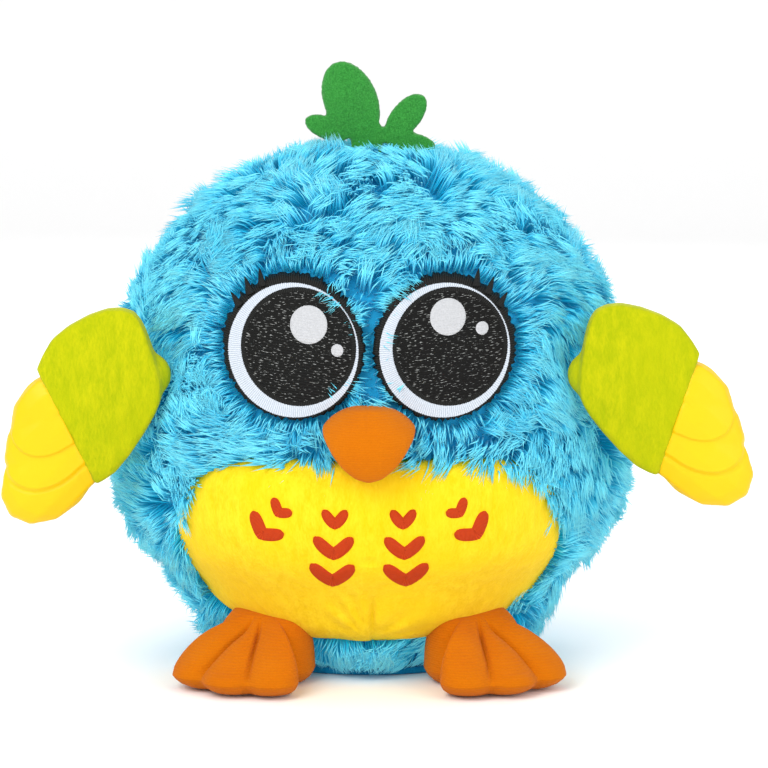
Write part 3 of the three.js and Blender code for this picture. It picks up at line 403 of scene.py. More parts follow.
def piece(name, points, faces):
    """A smooth-shaded mesh from its points and faces."""
    mesh = bpy.data.meshes.new(name)
    mesh.from_pydata([tuple(map(float, p)) for p in points], [], faces)
    mesh.update()
    mesh.polygons.foreach_set("use_smooth", [True] * len(mesh.polygons))
    return shown_as(name, mesh)


def rings_joined(starts, around, last):
    """Faces of a closed form: a fan at each end, from point 0 and point last, and bands between rings."""
    turns = [(j, (j + 1) % around) for j in range(around)]
    faces = [(0, starts[0] + j, starts[0] + k) for j, k in turns]
    faces += [(a + j, b + j, b + k, a + k) for a, b in zip(starts, starts[1:]) for j, k in turns]
    return faces + [(starts[-1] + j, last, starts[-1] + k) for j, k in turns]


def rows(x, y, z):
    """Points from arrays of their coordinates."""
    return list(np.stack([x, y, z], -1).reshape(-1, 3))


def disc(around, shares, start=0.0):
    """Angles round a disc, and a grid of shares of its radius by those angles."""
    turn = np.linspace(start, start + 2 * np.pi, around, endpoint=False)
    return (turn, *np.meshgrid(shares, turn, indexing="ij"))


def noise_at(x, y, z):
    """Smooth noise at arrays of coordinates."""
    x, y, z = np.broadcast_arrays(x, y, z)
    return np.array([noise.noise(Vector(p)) for p in zip(x.ravel(), y.ravel(), z.ravel())]).reshape(x.shape)


def outward(obj):
    """Merges doubles and turns every face outwards."""
    form = bmesh.new()
    form.from_mesh(obj.data)
    bmesh.ops.remove_doubles(form, verts=form.verts, dist=1e-6)
    bmesh.ops.recalc_face_normals(form, faces=form.faces)
    form.to_mesh(obj.data)
    form.free()
    return obj


def primitive(kind, **settings):
    """Adds a mesh primitive with nothing else selected."""
    bpy.ops.object.select_all(action="DESELECT")
    getattr(bpy.ops.mesh, f"primitive_{kind}_add")(**settings)
    return bpy.context.object


def apply(obj, kind, **settings):
    only(obj)
    modifier = obj.modifiers.new(kind.lower(), kind)
    for key, value in settings.items():
        setattr(modifier, key, value)
    bpy.ops.object.modifier_apply(modifier=modifier.name)
    return obj


def soft_copy(node, name, voxel, smooth=0.5, rounds=6, added=None):
    """A rounded copy of a CAD node on an even mesh, with another solid joined in where one is given."""
    obj = shown_as(name, NODES[node].data.copy())
    obj.data.materials.clear()
    outward(obj)
    if added:
        only(obj)
        added.select_set(True)
        bpy.ops.object.join()
    apply(obj, "REMESH", mode="VOXEL", voxel_size=voxel * MM, use_smooth_shade=True)
    apply(obj, "SMOOTH", factor=smooth, iterations=rounds)
    return obj


def points_of(obj, what="co"):
    found = np.empty(len(obj.data.vertices) * 3)
    obj.data.vertices.foreach_get(what, found)
    return found.reshape(-1, 3)


def normals_of(obj):
    return points_of(obj, "normal")


def set_points(obj, points):
    obj.data.vertices.foreach_set("co", np.asarray(points, float).ravel())
    obj.data.update()


def tree_of(obj):
    faces = [tuple(p.vertices) for p in obj.data.polygons]
    return BVHTree.FromPolygons([v.co.copy() for v in obj.data.vertices], faces)


def wear(obj, material, slot, body, *nodes):
    """Finishes a piece, attaches it to its body and hides the CAD nodes that it stands for; the slot is not
    used.
    """
    obj.data.materials.clear()
    obj.data.materials.append(material)
    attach(obj, body)
    if nodes:
        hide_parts(*nodes)
    return obj


def smoothstep(value, low, high):
    t = np.clip((value - low) / (high - low), 0, 1)
    return t * t * (3 - 2 * t)


# ---------- camera, light, floor ----------
def studio():
    """Camera at eye level for a shelf, three soft lights and a pale floor that curves up behind."""
    camera = shown_as("camera", bpy.data.cameras.new("camera"))
    target = Vector((4.8 * MM, 0, 93 * MM))
    distance, tilt = 1.1, math.radians(8)
    camera.location = target + Vector((0, -distance * math.cos(tilt), distance * math.sin(tilt)))
    camera.rotation_euler = (math.pi / 2 - tilt, 0, 0)
    camera.data.sensor_width = 36
    view_width = 262.656 * MM
    camera.data.lens = camera.data.sensor_width * distance / view_width
    bpy.context.scene.camera = camera

    def lamp(name, place, size, power):
        light = bpy.data.lights.new(name, "AREA")
        light.size, light.energy = size, power
        obj = shown_as(name, light)
        obj.location = place
        obj.rotation_euler = (Vector((0, 0, 0.09)) - Vector(place)).to_track_quat("-Z", "Y").to_euler()

    lamp("key", (-0.5, -0.8, 0.8), 0.7, 8.0)
    lamp("fill", (0.8, -0.75, 0.4), 0.9, 4.0)
    lamp("back", (0.1, 0.9, 0.8), 0.7, 5.0)
    world = bpy.data.worlds.new("studio")
    bpy.context.scene.world = world
    world.use_nodes = True
    sky = world.node_tree.nodes["Background"]
    sky.inputs[0].default_value = (1, 1, 1, 1)
    sky.inputs[1].default_value = 1.0
    bend_start, bend_radius = 1.5, 0.8
    bend = [(-2.5, 0)]
    bend += [(bend_start + math.sin(a) * bend_radius, bend_radius - math.cos(a) * bend_radius)
             for a in np.linspace(0, math.pi / 2, 24)]
    bend.append((bend_start + bend_radius, 3.0))
    sweep = [(x, y, z) for y, z in bend for x in (-4, 4)]
    strips = [(2 * i, 2 * i + 1, 2 * i + 3, 2 * i + 2) for i in range(len(bend) - 1)]
    floor = piece("floor", sweep, strips)
    ground = Finish("floor_paper", Roughness=0.95, Specular_IOR_Level=0.0)
    ground.shader.inputs["Base Color"].default_value = (0.93, 0.93, 0.93, 1)
    floor.data.materials.append(ground.material)
    bpy.context.scene.view_settings.view_transform = "Standard"


# ---------- stuffed body and its backing cloth ----------
def stuffed_body():
    """Backing cloth: the body drawn in by the pile's depth, but never into the module inside."""
    body = soft_copy("plush_body", "body_backing", 2.4, 0.5, 3)
    points, normals = points_of(body), normals_of(body)
    housing = tree_of(NODES["housing_front"])
    outline = body_outline(0)
    radius = np.interp(points[:, 2], outline[:, 1], outline[:, 0])
    share = BODY["depth"] / BODY["width"]
    reach = np.hypot(points[:, 0], points[:, 1] / share)
    outer = smoothstep(reach, radius - 3 * MM, radius - 1.2 * MM)
    outer = np.maximum(outer, points[:, 2] > 160 * MM)
    for i in np.nonzero(outer > 0)[0]:
        inward = SKIN_DEPTH * MM * outer[i]
        hit = housing.find_nearest(Vector(points[i]))
        if hit[3] is not None:
            inward = min(inward, max(hit[3] - 0.8 * MM, 0))
        points[i] -= normals[i] * inward
    points[:, 2] = np.maximum(points[:, 2], (BODY["low"] + 0.1) * MM)
    set_points(body, points)
    apply(body, "SMOOTH", factor=0.5, iterations=2)
    wear(body, SKIN, "fur", "body", "plush_body")


def base_cover():
    """Flat sewn base with a rolled seam round its edge."""
    width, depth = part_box("base_panel")[1][:2]
    base = primitive("cylinder", vertices=96, radius=width, depth=2.2 * MM, location=(0, 0, 1.2 * MM))
    base.name = "base_cover"
    base.scale = (1, depth / width, 1)
    bpy.ops.object.transform_apply(location=True, rotation=False, scale=True)
    apply(base, "BEVEL", width=0.9 * MM, segments=4, limit_method="ANGLE")
    bpy.ops.object.shade_smooth_by_angle(angle=math.radians(40))
    tones = (colour(0, 100, 150), colour(8, 130, 180), colour(30, 160, 205))
    wear(base, plush_finish("base_cloth", *tones, (0, 0, 0)), "fur", "body", "base_panel")


# ---------- fur ----------
def fibre():
    """One fibre, a thin three-sided cone with a waist, that every lock's fibres are copied from."""
    cone = primitive("cone", vertices=3, radius1=1, depth=1, location=(0, 0, 0.5))
    bpy.ops.object.transform_apply(location=True, rotation=False, scale=False)
    bpy.ops.object.mode_set(mode="EDIT")
    bpy.ops.mesh.select_all(action="SELECT")
    bpy.ops.mesh.bisect(plane_co=(0, 0, 0.6), plane_no=(0, 0, 1))
    bpy.ops.object.mode_set(mode="OBJECT")
    shape = points_of(cone)
    faces = [tuple(p.vertices) for p in cone.data.polygons]
    bpy.data.objects.remove(cone)
    around = np.hypot(shape[:, 0], shape[:, 1])
    ring = np.where(around > 1e-6, 1 / np.maximum(around, 1e-6), 0)
    return shape[:, :2] * ring[:, None], shape[:, 2], faces


FIBRE = fibre()


def unit(vectors):
    return vectors / np.maximum(np.linalg.norm(vectors, axis=-1, keepdims=True), 1e-12)


def along_surface(vectors, normals):
    """The part of each vector that lies in the surface."""
    return vectors - normals * np.sum(vectors * normals, axis=1, keepdims=True)


def pile_piece(name, body, roots, normals, lay, rise, run, width, shades):
    """Builds one panel's fibres: each stands up from its root and then bends over along its lay."""
    ring, height, faces = FIBRE
    count, per = len(roots), len(height)
    side = unit(np.cross(normals, lay))
    curve = height[None, :, None] * np.ones((count, 1, 1))
    centre = roots[:, None] + normals[:, None] * (rise[:, None, None] * (1.55 * curve - 0.55 * curve**2))
    centre = centre + lay[:, None] * (run[:, None, None] * curve**1.7)
    centre = centre - normals[:, None] * 0.6 * MM * (1 - curve)
    lean = unit(normals * rise[:, None] + lay * run[:, None])
    over = unit(np.cross(side, lean))
    thick = (width[:, None] * np.where(height > 0.3, 0.92, 1.0))[:, :, None]
    points = centre + (side[:, None] * ring[None, :, :1] - over[:, None] * ring[None, :, 1:]) * thick
    mesh = bpy.data.meshes.new(name)
    mesh.vertices.add(count * per)
    mesh.vertices.foreach_set("co", points.ravel())
    corners = np.concatenate([np.array(f) for f in faces])
    sizes = np.array([len(f) for f in faces])
    loops = (corners[None, :] + per * np.arange(count)[:, None]).ravel()
    mesh.loops.add(len(loops))
    mesh.loops.foreach_set("vertex_index", loops)
    totals = np.tile(sizes, count)
    mesh.polygons.add(len(totals))
    mesh.polygons.foreach_set("loop_start", np.concatenate([[0], np.cumsum(totals)[:-1]]))
    mesh.polygons.foreach_set("use_smooth", np.ones(len(totals), bool))
    tint = mesh.attributes.new("pile", "FLOAT_COLOR", "POINT")
    shade = np.ones((count, per, 4))
    shade[:, :, 0] = height[None]
    shade[:, :, 1:3] = shades[:, None]
    tint.data.foreach_set("color", shade.ravel())
    mesh.update()
    mesh.validate()
    return wear(shown_as(name, mesh), FUR, "fur", body)


def ground_form():
    """Smooth copy of the body's form at the depth where the pile is rooted, for placing the locks."""
    outline = body_outline(-SKIN_DEPTH, 70)
    around = 140
    turn = np.linspace(0, 2 * np.pi, around, endpoint=False)
    share = (BODY["depth"] - SKIN_DEPTH) / (BODY["width"] - SKIN_DEPTH)
    points = [(r * math.cos(a), r * math.sin(a) * share, z) for r, z in outline for a in turn]
    starts = np.arange(len(outline)) * around
    turns = [(j, (j + 1) % around) for j in range(around)]
    faces = [(a + j, a + k, b + k, b + j) for a, b in zip(starts, starts[1:]) for j, k in turns]
    return np.array(points), faces


def silhouette(tree, centre, count):
    """How far a node reaches round a centre in X and Z, seen along Y."""
    reach = np.zeros(count)
    for i, turn in enumerate(np.linspace(0, 2 * np.pi, count, endpoint=False)):
        low, high = 0.0, 0.12
        for _ in range(14):
            mid = (low + high) / 2
            start = Vector((centre[0] + mid * math.cos(turn), -0.3, centre[1] + mid * math.sin(turn)))
            hit = tree.ray_cast(start, Vector((0, 1, 0)))
            low, high = (mid, high) if hit[0] is not None else (low, mid)
        reach[i] = low
    return reach


def lock_places(spacing):
    """Evenly scattered places for the locks on the body, with their normals."""
    points, faces = ground_form()
    tree = BVHTree.FromPolygons([Vector(p) for p in points], faces)
    quads = points[np.array(faces)]
    first = np.cross(quads[:, 1] - quads[:, 0], quads[:, 2] - quads[:, 0])
    second = np.cross(quads[:, 2] - quads[:, 0], quads[:, 3] - quads[:, 0])
    area = (np.linalg.norm(first, axis=1) + np.linalg.norm(second, axis=1)) / 2
    total = area.sum()
    wanted = int(total / spacing**2 * 6)
    picks = rng.choice(len(quads), wanted, p=area / total)
    u, v = rng.random((2, wanted, 1))
    q = quads[picks]
    tries = (q[:, 0] * (1 - u) + q[:, 1] * u) * (1 - v) + (q[:, 3] * (1 - u) + q[:, 2] * u) * v
    taken = {}
    kept = []
    for p in tries:
        cell = tuple((p // spacing).astype(int))
        near = (taken.get((cell[0] + a, cell[1] + b, cell[2] + c), ())
                for a in (-1, 0, 1) for b in (-1, 0, 1) for c in (-1, 0, 1))
        if all(np.sum((p - q) ** 2) > (0.8 * spacing) ** 2 for group in near for q in group):
            taken.setdefault(cell, []).append(p)
            kept.append(p)
    found = [tree.find_nearest(Vector(p)) for p in kept]
    return np.array([f[0] for f in found]), np.array([f[1] for f in found]), tree


def eye_place(side):
    low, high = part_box(f"eye_patch_{'left' if side > 0 else 'right'}")
    return Vector(((low.x + high.x) / 2, 0, (low.z + high.z) / 2)), (high.x - low.x) / 2


PIVOT = {"x": 71, "z": 103}     # the wings' pivots, in millimetres


def lifted(side, degrees):
    """The turn that lifts one side's wing about its pivot."""
    turn = Matrix.Rotation(-side * math.radians(degrees), 4, "Y")
    pivot = Matrix.Translation((side * PIVOT["x"] * MM, 0, PIVOT["z"] * MM))
    return pivot @ turn @ pivot.inverted()


def swept_trees():
    """Solids that the pile must stay clear of, each with a test for the roots near it."""
    found = []
    for name, side in (("left", 1), ("right", -1)):
        for lift in (0, 14, 28, 42):
            moved = lifted(side, lift)
            mesh = NODES[f"wing_plush_{name}"].data
            spots = [moved @ v.co for v in mesh.vertices]
            tree = BVHTree.FromPolygons(spots, [tuple(p.vertices) for p in mesh.polygons])
            found.append((tree, lambda r, s=side: (s * r[:, 0] > 45 * MM) & (r[:, 1] < -15 * MM)
                          & (r[:, 2] > 60 * MM)))
    found.append((tree_of(NODES["leaf_crest"]), lambda r: (abs(r[:, 0]) < 25 * MM)
                  & (abs(r[:, 1]) < 12 * MM) & (r[:, 2] > 160 * MM)))
    return found


PILE = {"spacing": 4.6, "per_lock": 34, "rise": 7.2, "run": 7.4, "width": 0.27}     # millimetres
PANELS = ("front", "left_front", "left_back", "right_back", "right_front")


def fur(feet):
    """All the long pile: locks of fibres, laid by a swirling field, cut round the face and belly."""
    per_lock = PILE["per_lock"]
    centres, normals, tree = lock_places(PILE["spacing"] * MM)
    count = len(centres)
    swirl = np.array([noise.noise_vector(Vector(c) * 34) for c in centres])
    swirl += 0.5 * np.array([noise.noise_vector(Vector(c) * 95 + Vector((5, 3, 1))) for c in centres])
    lay = unit(along_surface(swirl, normals)) + along_surface(np.tile([0, 0, -0.55], (count, 1)), normals)
    rise = np.full(count, PILE["rise"] * MM) * (1 + 0.16 * rng.standard_normal(count))
    run = np.full(count, PILE["run"] * MM) * (1 + 0.18 * rng.standard_normal(count))
    front = centres[:, 1] < 0
    for side in (1, -1):
        middle, radius = eye_place(side)
        away = centres - np.array([middle.x, 0, middle.z])
        away[:, 1] = 0
        far = np.linalg.norm(away, axis=1)
        near = front * (1 - smoothstep(far, radius + 1 * MM, radius + 9 * MM))
        inward = np.clip(side * away[:, 0] / np.maximum(far, 1e-6), -1, 1)
        over = smoothstep(-inward, 0.1, 0.75) * smoothstep(away[:, 2], -radius * 1.1, -radius * 0.4)
        heading = unit(away) * (1.2 - 1.9 * over[:, None])
        lay = lay * (1 - near[:, None]) + along_surface(heading, normals) * near[:, None]
        rise *= 1 - near * (0.42 - 0.1 * over)
        run *= 1 - near * (0.25 - 0.1 * over)
    belly_tree = tree_of(NODES["belly_panel"])
    belly_low, belly_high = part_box("belly_panel")
    middle = (0.0, (belly_low.z + belly_high.z) / 2)
    reach = silhouette(belly_tree, middle, 180)
    lay = unit(along_surface(lay, normals))
    grown = np.repeat(np.arange(count), per_lock)
    total = len(grown)
    across = unit(np.cross(normals, lay))[grown]
    spread = rng.standard_normal((2, total)) * [[1.75 * MM], [1.35 * MM]]
    roots = centres[grown] + across * spread[0][:, None] + lay[grown] * spread[1][:, None]
    found = [tree.find_nearest(Vector(p)) for p in roots]
    roots = np.array([f[0] for f in found])
    up = unit(0.5 * np.array([f[1] for f in found]) + 0.5 * normals[grown])
    gathered = rng.standard_normal((total, 1)) * 0.2 - spread[0][:, None] * 60
    lean = unit(along_surface(lay[grown] + across * gathered, up))
    high = rise[grown] * (1 + 0.08 * rng.standard_normal(total))
    length = run[grown] * (1 + 0.1 * rng.standard_normal(total))
    width = PILE["width"] * MM * (1 + 0.15 * rng.standard_normal(total))
    shades = np.stack([rng.random(total), rng.random(count)[grown]], axis=1)
    keep = roots[:, 2] > 6 * MM
    ahead = roots[:, 1] < 0
    for tree, near in swept_trees():
        for i in np.nonzero(near(roots))[0]:
            far = tree.find_nearest(Vector(roots[i]))[3]
            high[i] = min(high[i], max(far - 0.5 * MM, 1.2 * MM))
    for place, radius in (eye_place(1), eye_place(-1)):
        far = np.hypot(roots[:, 0] - place.x, roots[:, 2] - place.z)
        keep &= ~(ahead & (far < radius - 0.6 * MM))
    turn = np.mod(np.arctan2(roots[:, 2] - middle[1], roots[:, 0]), 2 * np.pi)
    edge = np.interp(turn, np.linspace(0, 2 * np.pi, 181), np.append(reach, reach[0]))
    keep &= ~(ahead & (np.hypot(roots[:, 0], roots[:, 2] - middle[1]) < edge - 1.5 * MM))
    beak_low, beak_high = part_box("beak")
    beak_tree = tree_of(NODES["beak"])
    near = ahead & (abs(roots[:, 0]) < beak_high.x) & (roots[:, 2] > beak_low.z) & (roots[:, 2] < beak_high.z)
    for i in np.nonzero(near & keep)[0]:
        keep[i] = beak_tree.ray_cast(Vector(roots[i]), Vector((0, -1, 0)))[0] is None
    for shape in feet:
        tree = tree_of(shape)
        near = (roots[:, 2] < 32 * MM) & ahead
        for i in np.nonzero(near & keep)[0]:
            far = tree.find_nearest(Vector(roots[i]))[3]
            keep[i] = far > 1.6 * MM
            high[i] = min(high[i], max(far, 2 * MM))
    falls = -(up[:, 2] * high + lean[:, 2] * length)
    room = np.clip((roots[:, 2] - 1.2 * MM) / np.maximum(falls, 1e-6), 0.1, 1)
    high, length = high * room, length * room
    sector = 2 * np.pi / len(PANELS)
    round_body = np.mod(np.arctan2(roots[:, 1], roots[:, 0]) + math.pi / 2 + sector / 2, 2 * np.pi)
    panels = np.floor(round_body / sector).astype(int)
    upper = roots[:, 2] > 100 * MM
    flap_low, flap_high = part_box("closure_flap")
    on_flap = (roots[:, 1] > 0) & (abs(roots[:, 0]) < flap_high.x)
    on_flap &= (roots[:, 2] > flap_low.z) & (roots[:, 2] < flap_high.z)
    args = (roots, up, lean, high, length, width, shades)
    for i, name in enumerate(PANELS):
        for part, where in (("upper", upper), ("lower", ~upper)):
            pick = keep & (panels == i) & where & ~on_flap
            pile_piece(f"pile_{name}_{part}", "body", *(a[pick] for a in args))
    pick = keep & on_flap
    pile_piece("pile_flap", "flap", *(a[pick] for a in args))
    print("fibres", int(keep.sum()), "locks", count)


# ---------- face ----------
EYE_PALE = {"at": (0.0, -0.03), "radius": 0.915}
EYE_IRIS = {"at": (0.075, 0.02), "radius": 0.81}
EYE_LIGHTS = {
    -1: ({"at": (0.22, 0.33), "radius": 0.26}, {"at": (0.62, -0.01), "radius": 0.085}),
    1: ({"at": (0.04, 0.43), "radius": 0.25}, {"at": (0.52, 0.26), "radius": 0.09}),
}


def eye_patch(side):
    """Embroidered patch that follows the body, raised where the satin rings and highlights are."""
    name = "left" if side > 0 else "right"
    centre, radius = eye_place(side)
    rings, around = 64, 200
    turn, share, angle = disc(around, np.linspace(0, 1, rings + 1)[1:])
    dx, dz = share * np.cos(angle), share * np.sin(angle)

    def mound(at, size, soft=0.05):
        return 1 - smoothstep(np.hypot(dx - at[0], dz - at[1]), size - soft, size + soft)

    iris = mound(EYE_IRIS["at"], EYE_IRIS["radius"])
    pale = mound(EYE_PALE["at"], EYE_PALE["radius"])
    relief = 0.55 * (1 - iris) + 0.12 * (1 - pale)
    for spot in EYE_LIGHTS[side]:
        relief += 0.45 * mound(spot["at"], spot["radius"], 0.03)
    ragged = 1 + smoothstep(share, 0.93, 1.0) * 0.016 * rng.standard_normal(around)[None, :]
    x, z = centre.x + dx * radius * ragged, centre.z + dz * radius * ragged
    roll = np.sqrt(np.clip(1 - ((share - 0.955) / 0.045).clip(0, 1) ** 2, 0, 1))
    y = body_front(x, z, 0.9) - relief * roll * MM + (1 - roll) * 2.2 * MM
    points = [(centre.x, body_front(centre.x, centre.z, 0.9), centre.z)]
    points += rows(x, y, z)
    back = len(points)
    low_y = body_front(x[-1], z[-1], -SKIN_DEPTH)
    points += rows(x[-1], low_y, z[-1])
    points.append((centre.x, body_front(centre.x, centre.z, -SKIN_DEPTH) + 0.5 * MM, centre.z))
    starts = [1 + i * around for i in range(rings)] + [back]
    faces = rings_joined(starts, around, len(points) - 1)
    patch = outward(piece(f"eye_{name}", points, faces))
    stitched = eye_finish(f"eye_stitching_{name}", centre, radius, side)
    wear(patch, stitched, "embroidery", "body", f"eye_patch_{name}")


def satin(name, path, widths, surface, material, slot, lift=0.7):
    """A satin-stitched stroke: a low rounded band along a path in X and Z, laid on a surface."""
    path = np.array(path)
    steps = np.hypot(*np.diff(path, axis=0).T)
    along = np.concatenate([[0], np.cumsum(steps)])
    ahead = np.gradient(path, axis=0)
    ahead /= np.linalg.norm(ahead, axis=1, keepdims=True)
    side = np.stack([-ahead[:, 1], ahead[:, 0]], 1)
    profile = np.linspace(0, np.pi, 9)
    points, spots = [], []
    for p, s, w, length in zip(path, side, widths, along):
        for turn in profile:
            x, z = p + s * (math.cos(turn) * w / 2)
            ground = surface(x, z)
            points.append((x, ground - math.sin(turn) * lift * MM + 0.15 * MM, z))
            spots.append((length / MM, math.cos(turn)))
        x, z = p
        points.append((x, surface(x, z) + 0.6 * MM, z))
        spots.append((length / MM, 0))
    ring = len(profile) + 1
    last = (len(path) - 1) * ring
    faces = [(a + j, a + ring + j, a + ring + (j + 1) % ring, a + (j + 1) % ring)
             for a in range(0, last, ring) for j in range(ring)]
    faces.append(tuple(range(ring)))
    faces.append(tuple(range(last + ring - 1, last - 1, -1)))
    band = piece(name, points, faces)
    chart = band.data.uv_layers.new(name="stitch")
    for loop in band.data.loops:
        chart.data[loop.index].uv = spots[loop.vertex_index]
    outward(band)
    return wear(band, material, slot, "body")


def lashes(side, material):
    """Three tapering stitched lashes at the outer upper edge of an eye."""
    centre, radius = eye_place(side)
    for i, (angle, length) in enumerate(((36, 3.6), (50, 4.2), (62, 4.0))):
        turn = math.radians(angle)
        heading = np.array([side * math.cos(turn), math.sin(turn)])
        tilt = np.array([side * math.cos(turn + 0.5), math.sin(turn + 0.5)])
        start = np.array([centre.x, centre.z]) + heading * (radius - 1.5 * MM)
        share = np.linspace(0, 1, 10)
        path = start + np.outer(share, heading * 0.4 + tilt * 0.6) * (length + 1.5) * MM
        widths = 2.5 * MM * (1 - share) ** 0.8 + 0.3 * MM
        name = f"lash_{'left' if side > 0 else 'right'}_{i + 1}"
        satin(name, path, widths, lambda x, z: body_front(x, z, 1.6), material, "embroidery")


def beak():
    """Stuffed beak: a domed top, and a groove down its middle seam."""
    shape = soft_copy("beak", "beak_stuffed", 0.9, 0.5, 14)
    points = points_of(shape)
    low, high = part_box("beak")
    rounding = np.clip((points[:, 2] - high.z + 11 * MM) / (11 * MM), 0, 1)
    points[:, 0] *= 1 - 0.3 * rounding**2
    points[:, 2] = high.z - (high.z - points[:, 2]) * 0.92
    crown = smoothstep(points[:, 2], low.z + 12 * MM, high.z - 2 * MM)
    front = smoothstep(-points[:, 1], 80 * MM, 86 * MM)
    groove = np.exp(-(points[:, 0] / (0.9 * MM)) ** 2) * crown * front
    points[:, 1] += groove * 0.9 * MM
    set_points(shape, points)
    apply(shape, "SUBSURF", levels=1, render_levels=1)
    wear(shape, KNIT, "knit", "body", "beak")


LOBES = (
    {"at": (-6.4, 189.5), "half": (14.0, 9.0), "lean": 112},
    {"at": (12.2, 184.2), "half": (9.3, 4.9), "lean": 50},
    {"at": (-14.5, 180.4), "half": (7.8, 3.8), "lean": 158},
    {"at": (13.5, 175.6), "half": (8.8, 3.4), "lean": -10},
    {"at": (-1.0, 176.5), "half": (9.5, 5.4), "lean": 90},
)


def leaf():
    """Felt crest: flat lobes pressed together, softly waved, with a fuzzy face."""
    discs = []
    for lobe in LOBES:
        (x, z), (long, wide) = lobe["at"], lobe["half"]
        disc = primitive("cylinder", vertices=48, radius=MM, depth=3.2 * MM, rotation=(math.pi / 2, 0, 0))
        bpy.ops.object.transform_apply(location=False, rotation=True, scale=False)
        disc.scale = (long, 1, wide)
        disc.rotation_euler = (0, -math.radians(lobe["lean"]), 0)
        disc.location = (x * MM, 0, z * MM)
        bpy.ops.object.transform_apply(location=True, rotation=True, scale=True)
        discs.append(disc)
    bpy.ops.object.select_all(action="DESELECT")
    for disc in discs:
        disc.select_set(True)
    bpy.context.view_layer.objects.active = discs[0]
    bpy.ops.object.join()
    shape = bpy.context.object
    shape.name = "leaf_felt"
    apply(shape, "REMESH", mode="VOXEL", voxel_size=0.6 * MM, use_smooth_shade=True)
    apply(shape, "SMOOTH", factor=0.5, iterations=4)
    points = points_of(shape)
    lift = points[:, 2] - points[:, 2].min()
    points[:, 1] += 1.8 * MM * np.sin(points[:, 0] * 190) * smoothstep(lift, 8 * MM, 26 * MM)
    fuzz = np.array([noise.noise(Vector(p) * 1000) for p in points])
    set_points(shape, points + normals_of(shape) * (fuzz * 0.25 * MM)[:, None])
    wear(shape, felt_finish(), "felt", "body", "leaf_crest")


# ---------- belly ----------
def belly():
    """Padded panel: crowned in the middle, tucked in along its seam, pleated along its lower edge."""
    tree = tree_of(NODES["belly_panel"])
    low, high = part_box("belly_panel")
    middle = (0.0, (low.z + high.z) / 2)
    rings, around = 56, 240
    reach = silhouette(tree, middle, around)
    reach = np.convolve(np.concatenate([reach[-3:], reach, reach[:3]]), np.ones(7) / 7, "valid")
    reach *= 1.045
    turn, share, angle = disc(around, np.linspace(0, 1, rings + 1)[1:] ** 0.8)
    x = middle[0] + share * reach * np.cos(angle)
    z = middle[1] + share * reach * np.sin(angle)
    crown = (1 - share**7) ** 0.55
    swell = 5.4 + 2.6 * (1 - share**2)
    pleats = np.sin(x / (3.1 * MM) + 1.7 * np.sin(x / (9 * MM)))
    fold = pleats * smoothstep(share, 0.72, 0.97) * smoothstep(-z, -0.034, -0.02)
    dart = np.exp(-((x - 1.0 * MM) / (0.8 * MM)) ** 2) * smoothstep(-z, -0.034, -0.028)
    soft = noise_at(x * 55, 0, z * 55)
    reach_out = np.hypot(x, z - low.z)
    spoke = np.arctan2(z - low.z, x)
    wrinkle = np.sin(spoke * 13 + 2.2 * np.sin(spoke * 3))
    wrinkle *= np.exp(-(((reach_out - 13 * MM) / (7 * MM)) ** 2))
    wave = noise_at(x * 34, 3.0, z * 62)
    stand = (swell + 0.5 * soft + 0.9 * wave + 0.4 * wrinkle) * crown - 0.55 * fold - 1.3 * dart
    y = body_front(x, z, 0) + SKIN_DEPTH * MM * (1 - crown) - stand * MM
    points = [(middle[0], body_front(0.0, middle[1], 0) - 7.2 * MM, middle[1])]
    points += rows(x, y, z)
    back = len(points)
    for s in (0.97, 0.6):
        bx, bz = middle[0] + s * reach * np.cos(turn), middle[1] + s * reach * np.sin(turn)
        points += rows(bx, body_front(bx, bz, -SKIN_DEPTH) - 0.4 * MM, bz)
    points.append((0, body_front(0.0, middle[1], -SKIN_DEPTH) - 0.4 * MM, middle[1]))
    starts = [1 + i * around for i in range(rings)] + [back, back + around]
    faces = rings_joined(starts, around, len(points) - 1)
    panel = outward(piece("belly_padded", points, faces))
    tones = (colour(222, 182, 4), colour(234, 196, 10), colour(242, 210, 42))
    wear(panel, plush_finish("belly_plush", *tones, (0, 0.2, 0)), "belly_plush", "body", "belly_panel")
    top = tree_of(panel)

    def surface(x, z):
        hit = top.ray_cast(Vector((x, -0.3, z)), Vector((0, 1, 0)))
        return hit[0].y if hit[0] is not None else float(body_front(x, z, 5))

    chevrons(surface)


# In millimetres: place from the middle, half width, height and stroke of each chevron; then place,
# height, outer and inner arm, bend and stroke of each tick.
CHEVRONS = ((10.884, 3.7237, 58.9, 3.7), (11.3715, 6.1605, 48.7, 4.5), (11.8588, 6.9727, 38.7, 5.0))
TICKS = (
    (29.0, 62, (-4.4, 0.4), (1.6, 4.8), 0.3, 3.5),
    (34.5, 54.5, (-7.2, 0.5), (2.8, 7.4), 0.4, 4.6),
)


